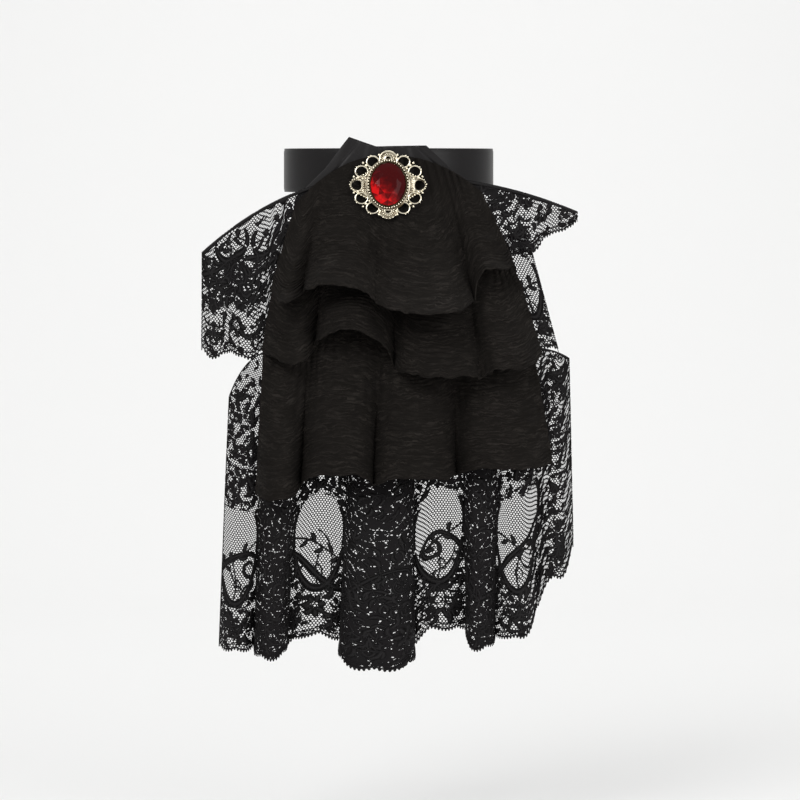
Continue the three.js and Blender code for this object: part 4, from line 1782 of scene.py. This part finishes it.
    def build(self) -> None:
        """Build every tier, with the upper crepe's threads pulled smooth at its heading."""
        crepe = CrepeFinish().material()
        thread = LaceWorkFinish().material()
        for lace in self.lace:
            lace.build(thread)
        for tier in self.crepe:
            tier.build(CrepeFinish(smooth_from=98.0).material() if tier.smooth else crepe)


@dataclass
class Yoke:
    """The satin backing that the tiers are sewn to.

    Attributes:
        top: Height of the top edge.
        peak: Rise of its left corner.
        length: Length down the front.
        half_width: Half of the greatest width.
        sides: Rows of the share down, and the left and right edges as shares of the half width.
        brow: Rows of the share across, and the top edge's rise as a share of the peak.
        hem: Width of the turned hem.
        hem_step: How far the hem stands out.
        stitch: Half width and pitch of its stitches.
        crease: Depth of the creases at the throat.
    """

    top: float = 10 * MM
    peak: float = 6 * MM
    length: float = 160 * MM
    half_width: float = 77 * MM
    sides: tuple[Colour, ...] = (
        (0.0, -0.32, 0.31), (0.12, -0.52, 0.58), (0.22, -0.76, 0.78), (0.4, -0.82, 1.0), (0.6, -0.84, 0.86),
        (1.0, -0.84, 0.86),
    )
    brow: tuple[tuple[float, float], ...] = ((0.0, 1.0), (0.35, 0.0), (1.0, 0.1))
    hem: float = 7 * MM
    hem_step: float = 0.3 * MM
    stitch: tuple[float, float] = (0.8 * MM, 2.6 * MM)
    crease: float = 0.35 * MM

    def build(self, satin: Material) -> Object:
        """Build the yoke.

        Args:
            satin: Its finish.

        Returns:
            The piece.
        """
        places, *edges = np.array(self.sides).T
        across, down = shares(120, 120)
        left, right = (np.interp(down, places, edge) * self.half_width for edge in edges)
        rise = np.interp(across, *np.array(self.brow).T) * self.peak * (1 - ease(2 * down))
        x = mix(left, right, across)
        z = self.top + rise - self.length * down
        spokes = np.arctan2(x, 60 * MM - z) * 14
        creases = self.crease * Ripple(21)(spokes, 4 + down * 3) * ease(1 - 3 * down)
        inset = np.minimum(np.minimum(across, 1 - across) * (right - left), (1 - down) * self.length)
        reach, pitch = self.stitch
        stitch = np.exp(-(((inset - self.hem) / reach) ** 2)) * (0.6 + 0.4 * np.sin(TURN * (x + z) / pitch))
        creases = creases + self.hem_step * (ease((self.hem - inset) / (1.2 * MM)) - stitch)
        piece = make_wall("satin_yoke", CHEST.place(x, creases, z), SATIN_CLOTH, np.stack([x, z], axis=-1))
        wrap(piece, Slot.SATIN, satin, "yoke")
        return piece


@dataclass
class NeckBand:
    """The satin band round the neck, whose far end laps over the fastener at the nape.

    Attributes:
        width: Inside width.
        depth: Inside depth.
        height: Height of the band.
        rise: How much higher it sits at the nape.
        lap: Length of the lap.
        ease_length: Length over which the far end lifts.
        tape_wall: Thickness of the fastener.
        roll: How far the edges roll in.
    """

    width: float = 134 * MM
    depth: float = 118 * MM
    height: float = 28 * MM
    rise: float = 10 * MM
    lap: float = 44 * MM
    ease_length: float = 26 * MM
    tape_wall: float = 1.6 * MM
    roll: float = 0.3 * MM

    def build(self, satin: Material) -> Object:
        """Build the band.

        Args:
            satin: Its finish.

        Returns:
            The piece.
        """
        radius = (self.width + self.depth) / 4
        lap_angle, ease_angle = self.lap / radius, self.ease_length / radius
        lap_start = TURN - lap_angle / 2
        angle = np.linspace(-lap_angle / 2, lap_start + lap_angle, 420)[None, :]
        height = np.linspace(self.height / 2, -self.height / 2, 30)[:, None]
        over_tape = SATIN_WALL + self.tape_wall + 2 * SEAT_GAP
        lift = over_tape * ease((angle - lap_start + ease_angle) / ease_angle)
        roll = self.roll * (ease((0.93 - np.abs(height) / (self.height / 2)) * 12) - 1)
        out = SATIN_WALL / 2 + lift + roll
        x = -(self.width / 2 + out) * np.sin(angle)
        y = (self.depth / 2 + out) * np.cos(angle)
        z = self.rise / 2 * np.cos(angle) + height
        flat = np.stack(np.broadcast_arrays(angle * radius, height), axis=-1)
        piece = make_wall("satin_neck_band", np.stack([x, y, z], axis=-1), SATIN_CLOTH, flat)
        wrap(piece, Slot.SATIN, satin, "neck_band")
        return piece


@dataclass
class MetalWork:
    """Cast and soldered metal, gathered into one piece in the brooch's own frame: x right, y up, z out."""

    points: list[Array] = field(default_factory=list)
    faces: list[Array] = field(default_factory=list)
    painted_shine_values: list[Array] = field(default_factory=list)
    count: int = 0

    def add_loop(self, rings: Array, painted_shine: float = 1.0) -> None:
        """Add a closed loop of closed sections.

        Args:
            rings: Points, with stations along the first axis and the section's corners along the second.
            painted_shine: Painted highlight on its highest parts; its lowest parts get painted shade.
        """
        here = np.arange(rings.shape[0] * rings.shape[1]).reshape(rings.shape[:2])
        after = np.roll(here, -1, axis=0)
        quads = np.stack([here, after, np.roll(after, -1, axis=1), np.roll(here, -1, axis=1)], axis=-1)
        points = rings.reshape(-1, 3)
        height = points[:, 2]
        self.points.append(points)
        self.faces.append(quads.reshape(-1, 4) + self.count)
        self.painted_shine_values.append(painted_shine * (height - height.min()) / (height.max() - height.min()))
        self.count += len(points)

    def sweep(self, line: Array, section: Array, painted_shine: float = 1.0) -> None:
        """Sweep a section round a flat closed line.

        Args:
            line: Points of the line, with x and y, counter-clockwise.
            section: Offsets outwards and heights of the section's corners.
            painted_shine: Painted highlight on its highest parts.
        """
        ahead = unit(np.roll(line, -1, axis=0) - np.roll(line, 1, axis=0))
        out = np.stack([ahead[:, 1], -ahead[:, 0]], axis=1)
        flat = line[:, None, :] + out[:, None, :] * section[None, :, :1]
        height = np.broadcast_to(section[None, :, 1:], (*flat.shape[:2], 1))
        self.add_loop(np.concatenate([flat, height], axis=-1), painted_shine)

    def wire(self, line: Array, height: float) -> None:
        """Lay a round wire along a flat closed line at a height."""
        self.sweep(line, oval(0.5 * MM, 0.5 * MM, circuit(8)) + [0, height])

    def bead(self, flat: Sequence[float], height: float, radius: float, sides: int) -> None:
        """Add a round bead, turned about its own axis and open by a pinprick at its poles.

        Args:
            flat: Its place to the right and up.
            height: Its height.
            radius: Its radius.
            sides: Number of its sides.
        """
        angle = np.linspace(0.02, math.pi - 0.02, sides // 2 + 1)[None, :]
        turn = circuit(sides)[:, None]
        x, y = (radius * np.sin(angle) * wave(turn) for wave in (np.cos, np.sin))
        z = radius * np.cos(angle) + 0 * x
        # Beads get a strong painted highlight over their whole upper half.
        self.add_loop(np.stack([x, y, z], axis=-1) + np.array([*flat, height]), 1.35)


def reach_of(corners: Array, middle: Array, ray: Array) -> float:
    """Find how far a ray from inside a convex outline runs to its edge.

    Args:
        corners: Corners of the outline.
        middle: Start of the ray.
        ray: Direction of length 1.

    Returns:
        The distance to the edge.
    """
    sides = np.roll(corners, -1, axis=0) - corners
    normal = np.stack([sides[:, 1], -sides[:, 0]], axis=1)
    normal *= np.sign(((corners - middle) * normal).sum(axis=1))[:, None]
    ahead = normal @ ray
    distance = ((corners - middle) * normal).sum(axis=1) / np.where(ahead > 1e-9, ahead, np.nan)
    return float(np.nanmin(distance))


@dataclass
class Brooch:
    """The oval brooch: an openwork gilt setting with a red stone.

    Attributes:
        upper: The crepe that it is pinned on.
        wreath_half: Half width and height of the oval through the ornaments.
        plate_wall: Thickness of the plate.
        bezel_wall: Thickness of the bezel.
        bezel_foot: Height of its foot.
        bezel_lift: Rise of its rim above the plate.
        bezel_rim: Width of its rim, as a share of its thickness.
        groove: Depth of the milgrain's groove under the rim.
        milgrain: Radius of the milgrain's beads, and their height above the groove.
        apron: How far the plate goes on outside the bezel.
        chamfer: Width of its bevelled edge.
        ring_radius: Radius of the ornament rings.
        fan_length: Length of a fan from its hole to its tip.
        fan_hole: Radius of its hole.
        fan_stretch: Its width as a share of its height.
        wing: Corners of the right wing, in millimetres.
        wing_middle: Middle of its hole, in millimetres.
        wing_hole: Radius of its hole.
        lobe: A fan's or wing's section: shares of the way from hole to outline, and heights in plates.
        pin_wire: Thickness of the pin behind the setting.
        ledge: Width of the ledge under the stone.
        places: Ornaments of the wreath; every third one is a fan or a wing.
    """

    upper: Tier
    wreath_half: tuple[float, float] = (19.2 * MM, 17 * MM)
    plate_wall: float = 1.6 * MM
    bezel_wall: float = 1.7 * MM
    bezel_foot: float = 0.4 * MM
    bezel_lift: float = 1.9 * MM
    bezel_rim: float = 0.22
    groove: float = 1.1 * MM
    milgrain: tuple[float, float] = (0.6 * MM, 0.5 * MM)
    apron: float = 1.2 * MM
    chamfer: float = 0.4 * MM
    ring_radius: float = 3.3 * MM
    fan_length: float = 5.4 * MM
    fan_hole: float = 1.5 * MM
    fan_stretch: float = 1.12
    wing: tuple[tuple[float, float], ...] = (
        (12.4, 8.0), (18.6, 4.6), (22.4, 2.9), (24.0, 0.2), (23.0, -2.6), (19.6, -5.0), (12.4, -9.3),
    )
    wing_middle: tuple[float, float] = (19.6, -0.3)
    wing_hole: float = 3.1 * MM
    lobe: tuple[tuple[float, float], ...] = (
        (1.0, 0.0), (1.0, 0.75), (0.94, 1.05), (0.86, 0.7), (0.3, 0.7), (0.14, 1.1), (0.0, 0.8), (0.0, 0.0),
    )
    pin_wire: float = 1.3 * MM
    ledge: float = 1.5 * MM
    places: int = 12

    def placed(self, points: Array) -> Array:
        """Move points from the brooch's own frame on to the crepe.

        Args:
            points: Points in the brooch's frame.

        Returns:
            Points in the model, leaning from the crepe behind the brooch's foot to that behind its head.
        """
        half = self.wreath_half[1] + self.fan_length
        levels = np.array([STONE_MIDDLE - half, self.upper.heading])
        foot, head = self.upper.front(levels, self.wreath_half[0]) + [0, self.pin_wire]
        tilt = math.atan2(foot - head, 2 * half)
        middle = CHEST.place(0.0, (foot + head) / 2, STONE_MIDDLE)
        turn = np.array(Matrix.Rotation(math.pi / 2 - tilt, 3, "X"))
        return points @ turn.T + middle

    def setting(self, gilt: Material) -> Object:
        """Build the setting.

        Args:
            gilt: Its finish.

        Returns:
            The piece.
        """
        work = MetalWork()
        wall, edge = self.bezel_wall, self.plate_wall
        seat = np.array(STONE_HALF) + SEAT_GAP
        foot, top = self.bezel_foot, edge + self.bezel_lift
        rim, groove = self.bezel_rim * wall, top - self.groove
        bezel = ((0, foot), (wall, foot), (wall, groove), (rim, groove), (rim, top), (0, top))
        # The last number of each part sets how strong its painted highlight is.
        work.sweep(oval(*seat, circuit(96)), np.array(bezel), 0.2)
        inner = np.array(STONE_HALF) - self.ledge
        reach = seat[0] + wall + self.apron - inner[0]
        plate = ((0, 0), (reach, 0), (reach, edge * 0.7), (reach - self.chamfer, edge), (0, edge))
        work.sweep(oval(*inner, circuit(96)), np.array(plate), 0.5)
        radius, lift = self.milgrain
        for spot in oval(*(seat + wall * 0.66), circuit(50)):
            work.bead(spot, groove + lift, radius, 8)
        for place in range(self.places):
            self.add_ornament(work, place)
        points = self.placed(np.concatenate(work.points))
        piece = make_object("gilt_setting", points, np.concatenate(work.faces))
        # Each point's painted highlight and shade, read by the gilt finish.
        painted_shine = piece.data.attributes.new("painted_shine", "FLOAT", "POINT")
        painted_shine.data.foreach_set("value", np.concatenate(work.painted_shine_values).astype(np.float32))
        return wrap(piece, Slot.GILT, gilt, "brooch_setting")

    def add_ornament(self, work: MetalWork, place: int) -> None:
        """Add the fan, wing or ring at one place of the wreath, and the beads after it.

        Args:
            work: The setting.
            place: Number of the place, clockwise from the top.
        """

        def compass(angle: float) -> Array:
            """Return a direction by its angle clockwise from the top."""
            return np.array([math.sin(angle), math.cos(angle)])

        step = TURN / self.places
        angle = place * step
        middle = self.wreath_half * compass(angle)
        height = self.plate_wall / 2 + 0.3 * MM
        if place % (self.places // 2) == 0:
            self.add_fan(work, middle * [1, 0.97], 1 if place == 0 else -1)
        elif place % 3 == 0:
            self.add_wing(work, 1 if middle[0] > 0 else -1)
        else:
            line = oval(self.ring_radius + 0.6 * MM, self.ring_radius + 0.25 * MM, circuit(36))
            work.wire(middle + line, height)
            for turn in (-0.21, 0.21):
                spot = middle + (self.ring_radius + 0.9 * MM) * compass(angle + turn)
                work.bead(spot, height, 0.5 * MM, 10)
        for share, radius in ((1.02, 1.05), (1.16, 0.85), (0.86, 0.8)):
            spot = self.wreath_half * compass(angle + step / 2) * share
            work.bead(spot, self.plate_wall / 2 + 0.35 * MM, radius * MM, 12)

    def add_fan(self, work: MetalWork, middle: Array, sign: int) -> None:
        """Add a round fan with a hole and two rows of beads, or a rim and one row.

        Args:
            work: The setting.
            middle: Middle of the hole.
            sign: 1 for the fan with a rim, which points up, -1 for the one that points down.
        """
        around = circuit(48)
        line = oval(self.fan_stretch, 1.0, around)
        hole = middle + oval(self.fan_hole, self.fan_hole, around)
        self.add_lobe(work, middle + 5.3 * MM * line, hole, 0.74)
        if sign > 0:
            work.wire(middle + 4.9 * MM * line, self.plate_wall)
        for angle in np.linspace(-0.1, math.pi + 0.1, 10):
            ahead = oval(self.fan_stretch, sign, angle)
            if sign < 0:
                work.bead(middle + 5.1 * MM * ahead, self.plate_wall * 0.9, 0.66 * MM, 10)
            work.bead(middle + 3.1 * MM * ahead, self.plate_wall * 0.95, 0.52 * MM, 8)

    def add_wing(self, work: MetalWork, side: int) -> None:
        """Add a side wing: a triangle from the bezel to a rounded tip, with a large hole and beaded edges.

        Args:
            work: The setting.
            side: 1 for the right wing, -1 for the left one.
        """
        corners = np.array(self.wing) * MM
        middle = np.array(self.wing_middle) * MM
        rays = oval(1.0, 1.0, circuit(60))
        outline = np.array([middle + ray * reach_of(corners, middle, ray) for ray in rays])
        egg = np.stack([1 + 0.12 * rays[:, 0], 1 - 0.12 * rays[:, 0]], axis=1)
        hole = middle + self.wing_hole * rays * egg
        if side < 0:
            outline, hole = outline[::-1] * [-1, 1], hole[::-1] * [-1, 1]
        self.add_lobe(work, outline, hole, 0.66)
        for start, end in zip(corners[:-1], corners[1:]):
            count = max(1, round(float(np.linalg.norm(end - start)) / (1.65 * MM)))
            for step in range(count):
                work.bead(mix(start, end, step / count) * [side, 1], self.plate_wall, 0.6 * MM, 10)
        for column in range(2):
            for row in range(-3, 4):
                spot = (side * (14.3 + 1.3 * column) * MM, (row * 1.3 - 0.4) * MM)
                work.bead(spot, self.plate_wall * 0.9, 0.42 * MM, 8)

    def add_lobe(self, work: MetalWork, outline: Array, hole: Array, painted_shine: float) -> None:
        """Add a plate with a hole, raised along its outline and its hole.

        Args:
            work: The setting.
            outline: Points of the outline.
            hole: Points of the hole.
            painted_shine: Painted highlight on its highest parts, over painted shade at its lowest.
        """
        flat = np.stack([mix(hole, outline, share) for share, _ in self.lobe], axis=1)
        heights = np.broadcast_to([height * self.plate_wall for _, height in self.lobe], flat.shape[:2])
        work.add_loop(np.concatenate([flat, heights[..., None]], axis=-1), painted_shine)

    def stone(self, ruby: Material) -> Object:
        """Build the stone, with table, star, kite and girdle facets over a plain back.

        Args:
            ruby: Its finish.

        Returns:
            The piece.
        """
        bottom = self.plate_wall + SEAT_GAP

        def ring(share: float, height: float, sides: int, turn: float = 0.0) -> Array:
            """Set out a ring of the stone's corners.

            Args:
                share: Its size, as a share of the outline.
                height: Its height above the back.
                sides: Number of corners.
                turn: Its turn, in corners.

            Returns:
                The corners.
            """
            angle = (np.arange(sides) + turn) * TURN / sides
            half_x, half_y = (share * half for half in STONE_HALF)
            places = [half_x * np.sin(angle), half_y * np.cos(angle), np.full(sides, bottom + height)]
            return np.stack(places, axis=1)

        table, star = ring(0.52, 4.6 * MM, 8, 0.5), ring(0.77, 3.5 * MM, 8)
        girdle, belt, back = ring(1.0, 1.3 * MM, 16), ring(1.0, 0.9 * MM, 16), ring(0.9, 0.0, 16)
        s0, g0, b0, k0 = 8, 16, 32, 48
        faces = [list(range(8))]
        for i in range(8):
            j = (i + 1) % 8
            middle = g0 + 2 * i + 1
            faces.append([i, (i - 1) % 8, s0 + i])
            faces.append([s0 + i, middle, s0 + j, i])
            faces.append([s0 + i, g0 + 2 * i, middle])
            faces.append([s0 + j, middle, g0 + (2 * i + 2) % 16])
        for i in range(16):
            j = (i + 1) % 16
            faces.append([g0 + i, b0 + i, b0 + j, g0 + j])
            faces.append([b0 + i, k0 + i, k0 + j, b0 + j])
        faces.append([k0 + i for i in range(16)])
        mesh = bpy.data.meshes.new("red_stone")
        points = self.placed(np.concatenate([table, star, girdle, belt, back]))
        mesh.from_pydata([tuple(point) for point in points], [], faces)
        tone = mesh.attributes.new("facet_tone", "FLOAT", "FACE")
        tones = np.random.default_rng(5).uniform(0, 1, len(faces))
        tone.data.foreach_set("value", tones.astype(np.float32))
        mesh.update()
        middle = Vector(points.mean(axis=0))
        for face in mesh.polygons:
            if face.normal.dot(face.center - middle) < 0:
                face.flip()
        mesh.update()
        return wrap(show("red_stone", mesh), Slot.STONE, ruby, "brooch_stone")


@dataclass
class Studio:
    """A pale sweep, soft lamps, and a camera at the photograph's viewing angle.

    Attributes:
        scale: Size of a pixel of the picture at the cascade.
        width: Pixels across the picture.
        sensor: Width of the camera's sensor, in millimetres.
        distance: Distance of the camera from the cascade.
        middle: The point at the picture's middle.
        floor: Height of the floor.
        wall: Distance of the sweep's wall behind the neck.
        bend: Radius of the sweep between them.
    """

    scale: float = 0.62 * MM
    width: int = 800
    sensor: float = 36.0
    distance: float = 1.75
    middle: tuple[float, float, float] = (7.4 * MM, -85 * MM, -149.4 * MM)
    floor: float = -0.42
    wall: float = 3.0
    bend: float = 1.2

    def build(self) -> None:
        """Set up the stage, the lamps and the camera."""
        self.add_sweep()
        self.add_camera()
        self.add_lamp("key", (-0.75, -1.5, 0.85), 0.8, 13.0)
        self.add_lamp("fill", (1.1, -1.35, 0.2), 1.1, 9.5)
        self.add_lamp("wall_wash", (0.0, 1.2, 2.6), 2.4, 43.0, (0.0, self.wall, -0.2))
        world = bpy.data.worlds.new("studio")
        world.use_nodes = True
        background = world.node_tree.nodes["Background"]
        background.inputs["Color"].default_value = (1, 1, 1, 1)
        background.inputs["Strength"].default_value = 0.55
        scene = bpy.context.scene
        scene.world = world
        scene.view_settings.view_transform = "Standard"
        scene.view_settings.look = "None"

    def add_sweep(self) -> None:
        """Add the pale floor, which curves up into a wall."""
        rise = oval(self.bend, self.bend, np.linspace(-math.pi / 2, 0, 17))
        rise = rise + [self.wall - self.bend, self.floor + self.bend]
        line = np.concatenate([[(-6.0, self.floor)], rise, [(self.wall, 3.6)]])
        across = np.tile(np.linspace(-5, 5, 5), len(line))
        points = np.column_stack([across, np.repeat(line, 5, axis=0)])
        sweep = make_object("studio_sweep", points, grid_faces(len(line), 5)[:, ::-1])
        paper = Graph("pale_paper")
        paper.set(Base_Color=(0.86, 0.86, 0.855, 1), Roughness=0.95, Specular_IOR_Level=0.1)
        sweep.data.materials.append(paper.material)

    def add_camera(self) -> None:
        """Add the level camera in front of the cascade."""
        lens = bpy.data.cameras.new("camera")
        lens.sensor_width = self.sensor
        lens.sensor_fit = "HORIZONTAL"
        lens.lens = self.sensor * self.distance / (self.scale * self.width)
        camera = show("camera", lens)
        x, y, z = self.middle
        camera.location = (x, y - self.distance, z)
        camera.rotation_euler = (math.pi / 2, 0, 0)
        bpy.context.scene.camera = camera

    def add_lamp(
        self, name: str, place: Colour, size: float, power: float, target: Colour = (0.0, -0.08, -0.12)
    ) -> None:
        """Add a square soft lamp.

        Args:
            name: Name of the lamp.
            place: Where it stands.
            size: Length of its side.
            power: Its power, in watts.
            target: What it points at.
        """
        light = bpy.data.lights.new(name, "AREA")
        light.size = size
        light.energy = power
        lamp = show(name, light)
        lamp.location = place
        lamp.rotation_euler = (Vector(target) - Vector(place)).to_track_quat("-Z", "Y").to_euler()


def dress_node(node: str, material: Material) -> None:
    """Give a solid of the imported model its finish.

    Args:
        node: Name of the solid.
        material: Its finish.
    """
    solid = frame["nodes"][node]
    solid.data.materials.clear()
    solid.data.materials.append(material)
    log.info("%s: kept", node)


def main() -> None:
    """Build the jabot's pieces in order."""
    logging.basicConfig(level=logging.INFO, format="%(name)s: %(message)s")
    Studio().build()
    satin = SatinFinish().material()
    yoke = Yoke()
    NeckBand().build(satin)
    yoke.build(satin)
    cascade = Cascade(yoke.half_width)
    cascade.build()
    brooch = Brooch(cascade.upper)
    brooch.setting(GiltFinish().material())
    brooch.stone(RubyFinish().material())
    dress_node("brooch_pin", GiltFinish(shaped=False).material())
    dress_node("fastener_tape", PileFinish().material())


if __name__ == "__main__":
    main()
